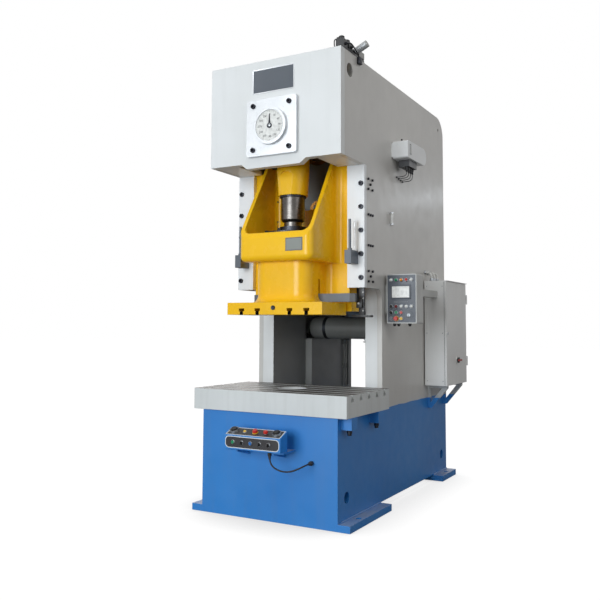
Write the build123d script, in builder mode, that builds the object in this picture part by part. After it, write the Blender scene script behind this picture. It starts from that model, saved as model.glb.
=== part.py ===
from build123d import *
import os
from math import acos, atan2, cos, degrees, pi, radians, sin, sqrt, tan

os.makedirs("parts", exist_ok=True)

# Mechanical stamping press. Millimetres, X to the right, Y to the back, Z up.
# The origin is the middle of the four anchor bolts, at floor level.

# Frame outline
frame_width = 1100
frame_back = 1115
column_front = -405
base_front = -1175
head_front = -1125
bolster_z = 740
throat_height = 895
gib_length = 910
head_height = 765
throat_round = 75
back_round = 170
side_t = 40
front_t = 60
base_front_t = 40
foot_t = 48
foot_width = 1280

# Ram, crank and die space
ram_y = -820
crank_rise = 255
throw = 80
bolster_t = 150
ram_length = 1368

# Fits
run_fit = 0.06
slide_fit = 0.1

# Places worked out from the sizes above
side_x = frame_width / 2
inner_x = side_x - side_t
throat_top = bolster_z + throat_height
head_under = throat_top + gib_length
frame_top = head_under + head_height
crank_z = head_under + crank_rise
pin_z = crank_z + throw
slide_bottom = crank_z - ram_length

# Anchors and lifting holes
anchor_edge = 40
anchor_x = foot_width / 2 - anchor_edge
anchor_y = 955
anchor_r = 21
front_foot_end = -452
rear_foot_start = 739
lift_r = 50
lift_y = -979
lift_drop = 132
lift_z = frame_top - lift_drop
low_lift_r = 40
low_lift_front = -1035
low_lift_back = 978
low_lift_z = 195
vent_r = 15
vent_y = 978
vent_drop = 117
vent_z = frame_top - vent_drop

# Slide guides
gib_t = 40
gib_front = -730
gib_inner = 411
gib_back = gib_front + gib_t
rail_depth = 125
rail_outer = 455
rail_end = gib_back + rail_depth
liner_bottom = throat_top + 5
liner_top = head_under - 5
screw_hex = 17
screw_head = 12
screw_y = gib_back + rail_depth / 2
screw_spread = 38
screw_groups = 4
screw_low = 85
screw_high = 138
screw_first = throat_top + screw_low
screw_pitch = (gib_length - screw_low - screw_high) / (screw_groups - 1)

# Socket bolts shared by the gibs, the crank cover and the bolster lugs
bolt_r = 12
bolt_head_r = 18
bolt_head_t = 24
bolt_socket = 19
bolt_sink = 12
socket_floor = 8
head_clear = 1
gib_bolt_x = 523
gib_bolt_count = 5
gib_bolt_low = 73
gib_bolt_high = 141
gib_bolt_first = throat_top + gib_bolt_low
gib_bolt_pitch = (gib_length - gib_bolt_low - gib_bolt_high) / (gib_bolt_count - 1)
gib_bolt_reach = 90


# Side plates
for side, plate_name in ((1, "side_plate_right"), (-1, "side_plate_left")):
    with BuildPart() as side_plate:
        plate_start = inner_x if side > 0 else -side_x
        with BuildSketch(Plane.YZ.offset(plate_start)) as outline:
            with BuildLine():
                Polyline(
                    (base_front + base_front_t, foot_t),
                    (base_front + base_front_t, bolster_z),
                    (column_front, bolster_z),
                    (column_front, throat_top),
                    (gib_back, throat_top),
                    (gib_back, head_under),
                    (head_front + front_t, head_under),
                    (head_front + front_t, frame_top),
                    (frame_back, frame_top),
                    (frame_back, foot_t),
                    close=True,
                )
            make_face()
            fillet(outline.vertices().sort_by_distance((column_front, throat_top, 0))[0], throat_round)
            fillet(outline.vertices().sort_by_distance((frame_back, frame_top, 0))[0], back_round)
        extrude(amount=side_t)
        with BuildSketch(Plane.YZ.offset(plate_start)):
            with Locations((lift_y, lift_z)):
                Circle(lift_r)
            with Locations((low_lift_front, low_lift_z), (low_lift_back, low_lift_z)):
                Circle(low_lift_r)
            with Locations((vent_y, vent_z)):
                Circle(vent_r)
        extrude(amount=side_t, mode=Mode.SUBTRACT)
        bolt_start = Plane.XZ.offset(-gib_back)
        with BuildSketch(bolt_start):
            for row in range(gib_bolt_count):
                with Locations((side * gib_bolt_x, gib_bolt_first + row * gib_bolt_pitch)):
                    Circle(bolt_r)
        extrude(amount=-(gib_bolt_reach - gib_t), mode=Mode.SUBTRACT)
    side_plate.part.label = plate_name
    export_step(side_plate.part, f"parts/{plate_name}.step")

# Base weldment: front, rear and bed plates, feet, bolster lugs and console arms
bed_t = 50
base_rear_t = 30
rib_t = 30
rib_y = -445
scrap_r = 150
lug_size = (75, 95, 84)
lug_places = ((1, -1069), (1, -608), (-1, -850), (-1, -608))
arm_inner = 140
arm_outer = 230
arm_t = 12
arm_reach = 170
arm_drop = 61
arm_tip = 22
console_bottom = 508
console_gap = 106
console_depth = 94
console_back = base_front - console_gap
console_front = console_back - console_depth
with BuildPart() as base_weldment:
    with BuildSketch(Plane.XZ.offset(-base_front)):
        with Locations((0, (foot_t + bolster_z) / 2)):
            Rectangle(frame_width, bolster_z - foot_t)
    extrude(amount=-base_front_t)
    with BuildSketch(Plane.XY.offset(bolster_z - bed_t)):
        with Locations((0, (base_front + base_front_t + column_front) / 2)):
            Rectangle(2 * inner_x, column_front - base_front - base_front_t)
        with Locations((0, ram_y)):
            Circle(scrap_r, mode=Mode.SUBTRACT)
    extrude(amount=bed_t)
    with BuildSketch(Plane.XY.offset(foot_t)):
        with Locations((0, rib_y)):
            Rectangle(2 * inner_x, rib_t)
        with Locations((0, frame_back - base_rear_t / 2)):
            Rectangle(2 * inner_x, base_rear_t)
    extrude(amount=bolster_z - bed_t - foot_t)
    with BuildSketch(Plane.XY):
        front_foot_length = front_foot_end - base_front
        with Locations((0, base_front + front_foot_length / 2)):
            Rectangle(foot_width, front_foot_length)
        rear_foot_length = frame_back - rear_foot_start
        with Locations((0, frame_back - rear_foot_length / 2)):
            Rectangle(foot_width, rear_foot_length)
        with GridLocations(2 * anchor_x, 2 * anchor_y, 2, 2):
            Circle(anchor_r, mode=Mode.SUBTRACT)
        with Locations((0, ram_y)):
            Circle(scrap_r, mode=Mode.SUBTRACT)
    extrude(amount=foot_t)
    for side, lug_y in lug_places:
        with Locations((side * (side_x + lug_size[0] / 2), lug_y, bolster_z - lug_size[2] / 2)):
            Box(*lug_size)
            Hole(bolt_r, depth=lug_size[2])
    for side in (1, -1):
        with BuildSketch(Plane.XY.offset(console_bottom - arm_t)):
            with Locations((side * (arm_inner + arm_outer) / 2, base_front - arm_reach / 2)):
                Rectangle(arm_outer - arm_inner, arm_reach)
        extrude(amount=arm_t)
        with BuildSketch(Plane.YZ.offset(side * arm_inner)):
            with BuildLine():
                Polyline(
                    (base_front, console_bottom - arm_t),
                    (base_front, console_bottom - arm_drop),
                    (base_front - arm_reach + arm_t, console_bottom - arm_tip),
                    (base_front - arm_reach + arm_t, console_bottom - arm_t),
                    close=True,
                )
            make_face()
        extrude(amount=side * arm_t)
base_weldment.part.label = "base_weldment"
export_step(base_weldment.part, "parts/base_weldment.step")

# Column boxes behind the throat, with a narrower rear box below the motor shelf
column_wall = 25
column_inner = gib_inner
front_box_back = 150
rear_box_inner = 350
rear_box_back = 975
shelf_z = 1240
shelf_t = 40
shelf_start = 352
with BuildPart() as column_boxes:
    with BuildSketch(Plane.XY.offset(bolster_z)):
        for side in (1, -1):
            with BuildLine():
                Polyline(
                    (side * inner_x, column_front),
                    (side * column_inner, column_front),
                    (side * column_inner, front_box_back),
                    (side * inner_x, front_box_back),
                    (side * inner_x, front_box_back - column_wall),
                    (side * (column_inner + column_wall), front_box_back - column_wall),
                    (side * (column_inner + column_wall), column_front + column_wall),
                    (side * inner_x, column_front + column_wall),
                    close=True,
                )
            make_face()
    extrude(amount=head_under - bolster_z)
    with BuildSketch(Plane.XY.offset(bolster_z)):
        for side in (1, -1):
            with BuildLine():
                Polyline(
                    (side * (column_inner + column_wall), front_box_back),
                    (side * rear_box_inner, front_box_back),
                    (side * rear_box_inner, rear_box_back),
                    (side * inner_x, rear_box_back),
                    (side * inner_x, rear_box_back - column_wall),
                    (side * (rear_box_inner + column_wall), rear_box_back - column_wall),
                    (side * (rear_box_inner + column_wall), front_box_back + column_wall),
                    (side * (column_inner + column_wall), front_box_back + column_wall),
                    close=True,
                )
            make_face()
    extrude(amount=shelf_z - bolster_z)
column_boxes.part.label = "column_boxes"
export_step(column_boxes.part, "parts/column_boxes.step")

# Head weldment: front plate with its tongue, bearing hub, top and underplates
tongue_top_half = 272
tongue_low_half = 225
tongue_drop = 36
front_bush_outer = 140
hub_r = 190
hub_t = 65
top_t = 30
under_t = 30
under_inner = 335
under_back = gib_front - 5
with BuildPart() as head_box:
    with BuildSketch(Plane.XZ.offset(-head_front)):
        with BuildLine():
            Polyline(
                (-side_x, frame_top),
                (-side_x, head_under),
                (-tongue_top_half, head_under),
                (-tongue_low_half, head_under - tongue_drop),
                (tongue_low_half, head_under - tongue_drop),
                (tongue_top_half, head_under),
                (side_x, head_under),
                (side_x, frame_top),
                close=True,
            )
        make_face()
    extrude(amount=-front_t)
    with BuildSketch(Plane.XZ.offset(-head_front - front_t)):
        with Locations((0, crank_z)):
            Circle(hub_r)
    extrude(amount=-hub_t)
    with BuildSketch(Plane.XZ.offset(-head_front)):
        with Locations((0, crank_z)):
            Circle(front_bush_outer)
    extrude(amount=-front_t - hub_t, mode=Mode.SUBTRACT)
    with BuildSketch(Plane.YZ.offset(-inner_x)) as roof:
        with BuildLine():
            Polyline(
                (head_front + front_t, frame_top - top_t),
                (head_front + front_t, frame_top),
                (frame_back, frame_top),
                (frame_back, frame_top - 2 * back_round),
                (frame_back - top_t, frame_top - 2 * back_round),
                (frame_back - top_t, frame_top - top_t),
                close=True,
            )
        make_face()
        fillet(roof.vertices().sort_by_distance((frame_back, frame_top, 0))[0], back_round)
        inner_corner = (frame_back - top_t, frame_top - top_t, 0)
        fillet(roof.vertices().sort_by_distance(inner_corner)[0], back_round - top_t)
    extrude(amount=2 * inner_x)
    for side in (1, -1):
        under_length = under_back - head_front - front_t
        under_width = inner_x - under_inner
        with Locations((
            side * (under_inner + under_width / 2),
            head_front + front_t + under_length / 2,
            head_under + under_t / 2,
        )):
            Box(under_width, under_length, under_t)
head_box.part.label = "head_box"
export_step(head_box.part, "parts/head_box.step")

# Bearing walls in the head, and the motor shelf
gear_module = 10
gear_teeth = 85
pinion_teeth = 17
gear_ratio = gear_teeth / pinion_teeth
pinion_z = crank_z - gear_module * (gear_teeth + pinion_teeth) / 2
wall_t = 60
wall_one = column_front
wall_two = 30
wall_three = 560
wall_top = frame_top - top_t
wall_one_drop = 210
wall_three_drop = 390
wall_one_bottom = pinion_z - wall_one_drop
wall_three_top = crank_z
wall_three_bottom = pinion_z - wall_three_drop
mid_bush_outer = 145
rear_bush_outer = 115
pinion_bush_outer = 75
with BuildPart() as bearing_walls:
    with BuildSketch(Plane.XZ.offset(-wall_one)):
        with Locations((0, (head_under + wall_top) / 2)):
            Rectangle(2 * inner_x, wall_top - head_under)
        with Locations((0, (wall_one_bottom + head_under) / 2)):
            Rectangle(2 * column_inner, head_under - wall_one_bottom)
        with Locations((0, crank_z)):
            Circle(mid_bush_outer, mode=Mode.SUBTRACT)
        with Locations((0, pinion_z)):
            Circle(pinion_bush_outer, mode=Mode.SUBTRACT)
    extrude(amount=-wall_t)
    with BuildSketch(Plane.XZ.offset(-wall_two)):
        with Locations((0, (head_under + wall_top) / 2)):
            Rectangle(2 * inner_x, wall_top - head_under)
        with Locations((0, (wall_one_bottom + head_under) / 2)):
            Rectangle(2 * column_inner, head_under - wall_one_bottom)
        with Locations((0, crank_z)):
            Circle(rear_bush_outer, mode=Mode.SUBTRACT)
        with Locations((0, pinion_z)):
            Circle(pinion_bush_outer, mode=Mode.SUBTRACT)
    extrude(amount=-wall_t)
    with BuildSketch(Plane.XZ.offset(-wall_three)):
        with Locations((0, (wall_three_bottom + wall_three_top) / 2)):
            Rectangle(2 * inner_x, wall_three_top - wall_three_bottom)
        with Locations((0, pinion_z)):
            Circle(pinion_bush_outer, mode=Mode.SUBTRACT)
    extrude(amount=-wall_t)
    with BuildSketch(Plane.XY.offset(shelf_z)):
        with Locations((0, (shelf_start + rear_box_back) / 2)):
            Rectangle(2 * inner_x, rear_box_back - shelf_start)
    extrude(amount=shelf_t)
bearing_walls.part.label = "bearing_walls"
export_step(bearing_walls.part, "parts/bearing_walls.step")

# Rear guard over the flywheel and the motor, with cooling slots
guard_t = 8
guard_bottom = shelf_z
guard_top = frame_top - 2 * back_round
slot_length = 300
slot_between = 90
slot_height = 18
slot_rows = 8
slot_pitch = 46
with BuildPart() as rear_guard:
    with BuildSketch(Plane.XZ.offset(-(frame_back - guard_t))):
        with Locations((0, (guard_bottom + guard_top) / 2)):
            Rectangle(2 * inner_x, guard_top - guard_bottom)
            with GridLocations(slot_length + slot_between, slot_pitch, 2, slot_rows):
                SlotOverall(slot_length, slot_height, mode=Mode.SUBTRACT)
    extrude(amount=-guard_t)
rear_guard.part.label = "rear_guard"
export_step(rear_guard.part, "parts/rear_guard.step")

# Gib front plates
gib_middle = (gib_inner + side_x) / 2
with BuildPart() as gib_plates:
    with BuildSketch(Plane.XZ.offset(-gib_front)):
        for side in (1, -1):
            with Locations((side * gib_middle, (throat_top + head_under) / 2)):
                Rectangle(side_x - gib_inner, head_under - throat_top)
    extrude(amount=-gib_t)
    gib_holes = [
        Plane.XZ.offset(-gib_front) * Pos(side * gib_bolt_x, gib_bolt_first + row * gib_bolt_pitch)
        for side in (1, -1)
        for row in range(gib_bolt_count)
    ]
    with Locations(*gib_holes):
        CounterBoreHole(bolt_r, bolt_head_r + head_clear, bolt_sink, depth=gib_t)
gib_plates.part.label = "gib_plates"
export_step(gib_plates.part, "parts/gib_plates.step")

# Gib liners: a side liner and a back liner for each rail
with BuildPart() as gib_liners:
    for side in (1, -1):
        with BuildSketch(Plane.XY.offset(liner_bottom)):
            side_liner = inner_x - rail_outer - slide_fit
            with Locations((side * (inner_x - side_liner / 2), (gib_back + rail_end) / 2)):
                Rectangle(side_liner, rail_end - gib_back)
            with Locations((side * (gib_inner + inner_x) / 2, (rail_end + slide_fit + column_front) / 2)):
                Rectangle(inner_x - gib_inner, column_front - rail_end - slide_fit)
        extrude(amount=liner_top - liner_bottom)
gib_liners.part.label = "gib_liners"
export_step(gib_liners.part, "parts/gib_liners.step")

# Gib adjusting screws: heads on the side plates in groups of five and three
with BuildPart() as gib_screws:
    for side in (1, -1):
        with BuildSketch(Plane.YZ.offset(side * side_x)):
            for group in range(screw_groups):
                group_z = screw_first + group * screw_pitch
                with Locations((screw_y, group_z)):
                    RegularPolygon(screw_hex / 2, 6, major_radius=False)
                if group in (0, screw_groups - 1):
                    with Locations((screw_y, group_z)):
                        with GridLocations(2 * screw_spread, 2 * screw_spread, 2, 2):
                            RegularPolygon(screw_hex / 2, 6, major_radius=False)
                else:
                    with Locations((screw_y, group_z)):
                        with GridLocations(2 * screw_spread, 0, 2, 1):
                            RegularPolygon(screw_hex / 2, 6, major_radius=False)
        extrude(amount=side * screw_head)
gib_screws.part.label = "gib_screws"
export_step(gib_screws.part, "parts/gib_screws.step")

# Bolster: five T-slots from side to side and a centre hole
bolster_width = 1250
bolster_depth = 740
bolster_front = -1192
bolster_y = bolster_front + bolster_depth / 2
bolster_top = bolster_z + bolster_t
slot_gap = 28
slot_mouth = 26
slot_head = 46
slot_head_t = 20
bolster_slots = 5
bolster_slot_pitch = 140
bolster_hole_r = 110
bolster_round = 6
lug_bolt_reach = 50
with BuildPart() as bolster:
    with BuildSketch(Plane.XY.offset(bolster_z)):
        with Locations((0, bolster_y)):
            Rectangle(bolster_width, bolster_depth)
    extrude(amount=bolster_t)
    fillet(bolster.edges().filter_by(Axis.Z), bolster_round)
    with BuildSketch(Plane.YZ.offset(-bolster_width / 2)):
        with Locations((bolster_y, bolster_top)):
            with GridLocations(bolster_slot_pitch, 0, bolster_slots, 1):
                Rectangle(slot_gap, slot_mouth + slot_head_t, align=(Align.CENTER, Align.MAX))
        with Locations((bolster_y, bolster_top - slot_mouth)):
            with GridLocations(bolster_slot_pitch, 0, bolster_slots, 1):
                Rectangle(slot_head, slot_head_t, align=(Align.CENTER, Align.MAX))
    extrude(amount=bolster_width, mode=Mode.SUBTRACT)
    with BuildSketch(Plane.XY.offset(bolster_z)):
        with Locations((0, ram_y)):
            Circle(bolster_hole_r)
    extrude(amount=bolster_t, mode=Mode.SUBTRACT)
    with BuildSketch(Plane.XY.offset(bolster_z)):
        for side, lug_y in lug_places:
            with Locations((side * (side_x + lug_size[0] / 2), lug_y)):
                Circle(bolt_r)
    extrude(amount=lug_bolt_reach, mode=Mode.SUBTRACT)
bolster.part.label = "bolster"
export_step(bolster.part, "parts/bolster.step")

# Square crank cover with the round dial boss
cover_size = 422
cover_t = 30
cover_round = 18
cover_bolt_spread = 304
cover_bolt_drop = 328
dial_r = 136
dial_t = 26
dial_face_r = 116
dial_sink = 8
spigot_r = 12
with BuildPart() as crank_cover:
    with BuildSketch(Plane.XZ.offset(-head_front)):
        with Locations((0, crank_z)):
            RectangleRounded(cover_size, cover_size, cover_round)
    extrude(amount=cover_t)
    with BuildSketch(Plane.XZ.offset(-head_front + cover_t)):
        with Locations((0, crank_z)):
            Circle(dial_r)
    extrude(amount=dial_t)
    with BuildSketch(Plane.XZ.offset(-head_front + cover_t + dial_t)):
        with Locations((0, crank_z)):
            Circle(dial_face_r)
    extrude(amount=-dial_sink, mode=Mode.SUBTRACT)
    with BuildSketch(Plane.XZ.offset(-head_front)):
        with Locations((0, crank_z)):
            Circle(spigot_r + run_fit)
    extrude(amount=cover_t + dial_t, mode=Mode.SUBTRACT)
    cover_holes = [
        Plane.XZ.offset(-head_front + cover_t) * Pos(x, crank_z + z)
        for x in (-cover_bolt_spread / 2, cover_bolt_spread / 2)
        for z in (-cover_bolt_drop / 2, cover_bolt_drop / 2)
    ]
    with Locations(*cover_holes):
        CounterBoreHole(bolt_r, bolt_head_r + head_clear, bolt_sink, depth=cover_t)
crank_cover.part.label = "crank_cover"
export_step(crank_cover.part, "parts/crank_cover.step")

# Socket bolts: gib plates, crank cover and the bolster lugs
lug_bolts = [
    Plane.XY.offset(bolster_z - lug_size[2]) * Pos(side * (side_x + lug_size[0] / 2), lug_y) * Rot(180, 0, 0)
    for side, lug_y in lug_places
]
bolt_groups = (
    (gib_holes, bolt_sink, gib_bolt_reach),
    (cover_holes, bolt_sink, cover_t),
    (lug_bolts, 0, lug_size[2] + lug_bolt_reach),
)
with BuildPart() as socket_bolts:
    for places, sink, reach in bolt_groups:
        for place in places:
            seat = Plane(place.location if isinstance(place, Plane) else place)
            with BuildSketch(seat.offset(-sink)):
                Circle(bolt_head_r)
                RegularPolygon(bolt_socket / 2, 6, major_radius=False, mode=Mode.SUBTRACT)
            extrude(amount=bolt_head_t)
            with BuildSketch(seat.offset(-sink)):
                Circle(bolt_head_r)
            extrude(amount=socket_floor)
            with BuildSketch(seat.offset(-sink)):
                Circle(bolt_r)
            extrude(amount=sink - reach)
socket_bolts.part.label = "socket_bolts"
export_step(socket_bolts.part, "parts/socket_bolts.step")

# Crankshaft: journals, webs and crank pin
front_journal_r = 110
pin_r = 120
web_t = 34
rod_t = 200
web_gap = 1
mid_journal_r = 115
gear_seat_r = 112
rear_journal_r = 90
gear_face = 150
gear_clear = 30
gear_start = wall_one + wall_t + gear_clear
web_low_r = 140
web_high_r = 150
pin_half = rod_t / 2 + web_gap
cover_clear = 5
spigot_out = 3
crank_start = head_front + cover_clear
with BuildPart() as crankshaft:
    with BuildSketch(Plane.XZ.offset(-(ram_y - pin_half))):
        with Locations((0, crank_z)):
            Circle(front_journal_r)
    extrude(amount=(ram_y - pin_half) - crank_start)
    for web_start in (ram_y - pin_half - web_t, ram_y + pin_half):
        with BuildSketch(Plane.XZ.offset(-web_start)):
            with Locations((0, crank_z)):
                Circle(web_low_r)
            with Locations((0, pin_z)):
                Circle(web_high_r)
            with Locations((0, (crank_z + pin_z) / 2)):
                Rectangle(2 * web_low_r, throw)
        extrude(amount=-web_t)
    with BuildSketch(Plane.XZ.offset(-(ram_y - pin_half))):
        with Locations((0, pin_z)):
            Circle(pin_r)
    extrude(amount=-2 * pin_half)
    with BuildSketch(Plane.XZ.offset(-(ram_y + pin_half))):
        with Locations((0, crank_z)):
            Circle(mid_journal_r)
    extrude(amount=-(wall_one + wall_t - ram_y - pin_half))
    with BuildSketch(Plane.XZ.offset(-(wall_one + wall_t))):
        with Locations((0, crank_z)):
            Circle(gear_seat_r)
    extrude(amount=-(gear_start + gear_face - wall_one - wall_t))
    with BuildSketch(Plane.XZ.offset(-(gear_start + gear_face))):
        with Locations((0, crank_z)):
            Circle(rear_journal_r)
    extrude(amount=-(wall_two + wall_t - gear_start - gear_face))
    with BuildSketch(Plane.XZ.offset(-crank_start)):
        with Locations((0, crank_z)):
            Circle(spigot_r)
    extrude(amount=crank_start - head_front + cover_t + dial_t - dial_sink + spigot_out)
crankshaft.part.label = "crankshaft"
export_step(crankshaft.part, "parts/crankshaft.step")

# Main bearings: bronze bushes for the crankshaft and the pinion shaft
pinion_shaft_r = 50
with BuildPart() as main_bearings:
    with BuildSketch(Plane.XZ.offset(-crank_start)):
        with Locations((0, crank_z)):
            Circle(front_bush_outer)
            Circle(front_journal_r + run_fit, mode=Mode.SUBTRACT)
    extrude(amount=-(front_t + hub_t - cover_clear))
    bushes = (
        (wall_one, crank_z, mid_bush_outer, mid_journal_r),
        (wall_two, crank_z, rear_bush_outer, rear_journal_r),
        (wall_one, pinion_z, pinion_bush_outer, pinion_shaft_r),
        (wall_two, pinion_z, pinion_bush_outer, pinion_shaft_r),
        (wall_three, pinion_z, pinion_bush_outer, pinion_shaft_r),
    )
    for wall_y, axis_z, outer_r, shaft_r in bushes:
        with BuildSketch(Plane.XZ.offset(-wall_y)):
            with Locations((0, axis_z)):
                Circle(outer_r)
                Circle(shaft_r + run_fit, mode=Mode.SUBTRACT)
        extrude(amount=-wall_t)
main_bearings.part.label = "main_bearings"
export_step(main_bearings.part, "parts/main_bearings.step")

# Involute gear outline: points round the teeth from the module and the tooth count
pressure_angle = radians(20)
tooth_gap = 0.6
tip_height = 0.9
root_depth = 1.25
root_lift = 0.5


def gear_outline(teeth, first_tooth):
    pitch_r = gear_module * teeth / 2
    root_r = pitch_r - root_depth * gear_module
    tip_r = pitch_r + tip_height * gear_module
    base_r = pitch_r * cos(pressure_angle)
    flank_start = max(base_r, root_r + root_lift)
    flank_radii = (flank_start, (flank_start + pitch_r) / 2, pitch_r, (pitch_r + tip_r) / 2, tip_r)
    half_at_pitch = pi / (2 * teeth) - tooth_gap / (2 * pitch_r)
    roll_at_pitch = tan(pressure_angle) - pressure_angle
    rising = [(root_r, half_at_pitch + roll_at_pitch)]
    for r in flank_radii:
        roll = acos(min(1, base_r / r))
        rising.append((r, half_at_pitch + roll_at_pitch - (tan(roll) - roll)))
    points = []
    for tooth in range(teeth):
        middle = first_tooth + 2 * pi * tooth / teeth
        for r, half in rising:
            points.append((r * cos(middle - half), r * sin(middle - half)))
        for r, half in reversed(rising):
            points.append((r * cos(middle + half), r * sin(middle + half)))
    return points


# Main gear on the crankshaft, dished between hub and rim
gear_hub_r = 170
gear_rim_r = 340
gear_web_cut = 45
gear_fit = 0.02
with BuildPart() as main_gear:
    with BuildSketch(Plane.XZ.offset(-gear_start)):
        with Locations((0, crank_z)):
            Polygon(*gear_outline(gear_teeth, -pi / 2), align=None)
            Circle(gear_seat_r + gear_fit, mode=Mode.SUBTRACT)
    extrude(amount=-gear_face)
    for cut_y, depth in ((gear_start, -gear_web_cut), (gear_start + gear_face, gear_web_cut)):
        with BuildSketch(Plane.XZ.offset(-cut_y)):
            with Locations((0, crank_z)):
                Circle(gear_rim_r)
                Circle(gear_hub_r, mode=Mode.SUBTRACT)
        extrude(amount=depth, mode=Mode.SUBTRACT)
main_gear.part.label = "main_gear"
export_step(main_gear.part, "parts/main_gear.step")

# Pinion shaft, from the first bearing wall to the clutch
flywheel_start = 700
flywheel_face = 170
clutch_length = 110
pinion_extra = 10
pinion_end = flywheel_start + flywheel_face + clutch_length
with BuildPart() as pinion_shaft:
    with BuildSketch(Plane.XZ.offset(-(gear_start - pinion_extra))):
        with Locations((0, pinion_z)):
            Polygon(*gear_outline(pinion_teeth, pi / 2 + pi / pinion_teeth), align=None)
    extrude(amount=-(gear_face + 2 * pinion_extra))
    with BuildSketch(Plane.XZ.offset(-wall_one)):
        with Locations((0, pinion_z)):
            Circle(pinion_shaft_r)
    extrude(amount=-(pinion_end - wall_one))
pinion_shaft.part.label = "pinion_shaft"
export_step(pinion_shaft.part, "parts/pinion_shaft.step")

# Flywheel with the clutch housing on its back
flywheel_r = 430
flywheel_rim = 75
flywheel_web = 50
flywheel_hub_r = 120
clutch_r = 225
with BuildPart() as flywheel:
    with BuildSketch(Plane.XZ.offset(-flywheel_start)):
        with Locations((0, pinion_z)):
            Circle(flywheel_r)
    extrude(amount=-flywheel_face)
    with BuildSketch(Plane.XZ.offset(-flywheel_start)):
        with Locations((0, pinion_z)):
            Circle(flywheel_r - flywheel_rim)
            Circle(flywheel_hub_r, mode=Mode.SUBTRACT)
    extrude(amount=-(flywheel_face - flywheel_web), mode=Mode.SUBTRACT)
    with BuildSketch(Plane.XZ.offset(-(flywheel_start + flywheel_face))):
        with Locations((0, pinion_z)):
            Circle(clutch_r)
    extrude(amount=-clutch_length)
    with BuildSketch(Plane.XZ.offset(-flywheel_start)):
        with Locations((0, pinion_z)):
            Circle(pinion_shaft_r + run_fit)
    extrude(amount=-(flywheel_face + clutch_length), mode=Mode.SUBTRACT)
flywheel.part.label = "flywheel"
export_step(flywheel.part, "parts/flywheel.step")

# Motor on its raised base, with its fan cowl and terminal box
motor_r = 130
motor_rise = 360
motor_z = shelf_z + motor_rise
motor_start = 290
motor_length = 380
motor_foot_t = 20
cowl_r = 78
cowl_t = 20
shaft_hole = 60
shaft_seat = 55
pedestal_size = (200, 220)
motor_foot = (360, 250)
terminal_sink = 20
motor_shaft_r = 24
terminal_size = (90, 120, 70)
with BuildPart() as motor:
    with BuildSketch(Plane.XZ.offset(-motor_start)):
        with Locations((0, motor_z)):
            Circle(motor_r)
    extrude(amount=-motor_length)
    with BuildSketch(Plane.XZ.offset(-(motor_start + motor_length))):
        with Locations((0, motor_z)):
            Circle(cowl_r)
            Circle(motor_shaft_r + run_fit, mode=Mode.SUBTRACT)
    extrude(amount=-cowl_t)
    pedestal_height = motor_z - motor_r / 2 - shelf_z - shelf_t
    with Locations((0, motor_start + motor_length / 2, shelf_z + shelf_t + pedestal_height / 2)):
        Box(*pedestal_size, pedestal_height)
    with Locations((0, motor_start + motor_length / 2, shelf_z + shelf_t + motor_foot_t / 2)):
        Box(*motor_foot, motor_foot_t)
    with Locations((motor_r + terminal_size[0] / 2 - terminal_sink, motor_start + motor_length / 2, motor_z)):
        Box(*terminal_size)
    with BuildSketch(Plane.XZ.offset(-(motor_start + motor_length - shaft_hole))):
        with Locations((0, motor_z)):
            Circle(motor_shaft_r + run_fit)
    extrude(amount=-shaft_hole, mode=Mode.SUBTRACT)
motor.part.label = "motor"
export_step(motor.part, "parts/motor.step")

# Motor pulley with its shaft
pulley_r = 86
with BuildPart() as motor_pulley:
    with BuildSketch(Plane.XZ.offset(-flywheel_start)):
        with Locations((0, motor_z)):
            Circle(pulley_r)
    extrude(amount=-flywheel_face)
    with BuildSketch(Plane.XZ.offset(-(motor_start + motor_length - shaft_seat))):
        with Locations((0, motor_z)):
            Circle(motor_shaft_r)
    extrude(amount=-(flywheel_start - motor_start - motor_length + shaft_seat))
motor_pulley.part.label = "motor_pulley"
export_step(motor_pulley.part, "parts/motor_pulley.step")

# Drive belts: three closed loops round the flywheel and the motor pulley
belt_t = 12
belt_width = 30
belt_pitch = 48
belt_count = 3
belt_gap = 0.3
axis_distance = pinion_z - motor_z
wrap = atan2(sqrt(axis_distance**2 - (flywheel_r - pulley_r) ** 2), flywheel_r - pulley_r)
with BuildPart() as drive_belts:
    for belt in range(belt_count):
        belt_y = flywheel_start + flywheel_face / 2 + (belt - (belt_count - 1) / 2) * belt_pitch
        with BuildSketch(Plane.XZ.offset(-(belt_y - belt_width / 2))):
            for grow, kind in ((belt_gap + belt_t, Mode.ADD), (belt_gap, Mode.SUBTRACT)):
                big_r = flywheel_r + grow
                small_r = pulley_r + grow
                with BuildLine():
                    right_high = (big_r * sin(wrap), pinion_z - big_r * cos(wrap))
                    right_low = (small_r * sin(wrap), motor_z - small_r * cos(wrap))
                    left_high = (-right_high[0], right_high[1])
                    left_low = (-right_low[0], right_low[1])
                    ThreePointArc(right_high, (0, pinion_z + big_r), left_high)
                    Line(left_high, left_low)
                    ThreePointArc(left_low, (0, motor_z - small_r), right_low)
                    Line(right_low, right_high)
                make_face(mode=kind)
        extrude(amount=-belt_width)
drive_belts.part.label = "drive_belts"
export_step(drive_belts.part, "parts/drive_belts.step")

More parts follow.
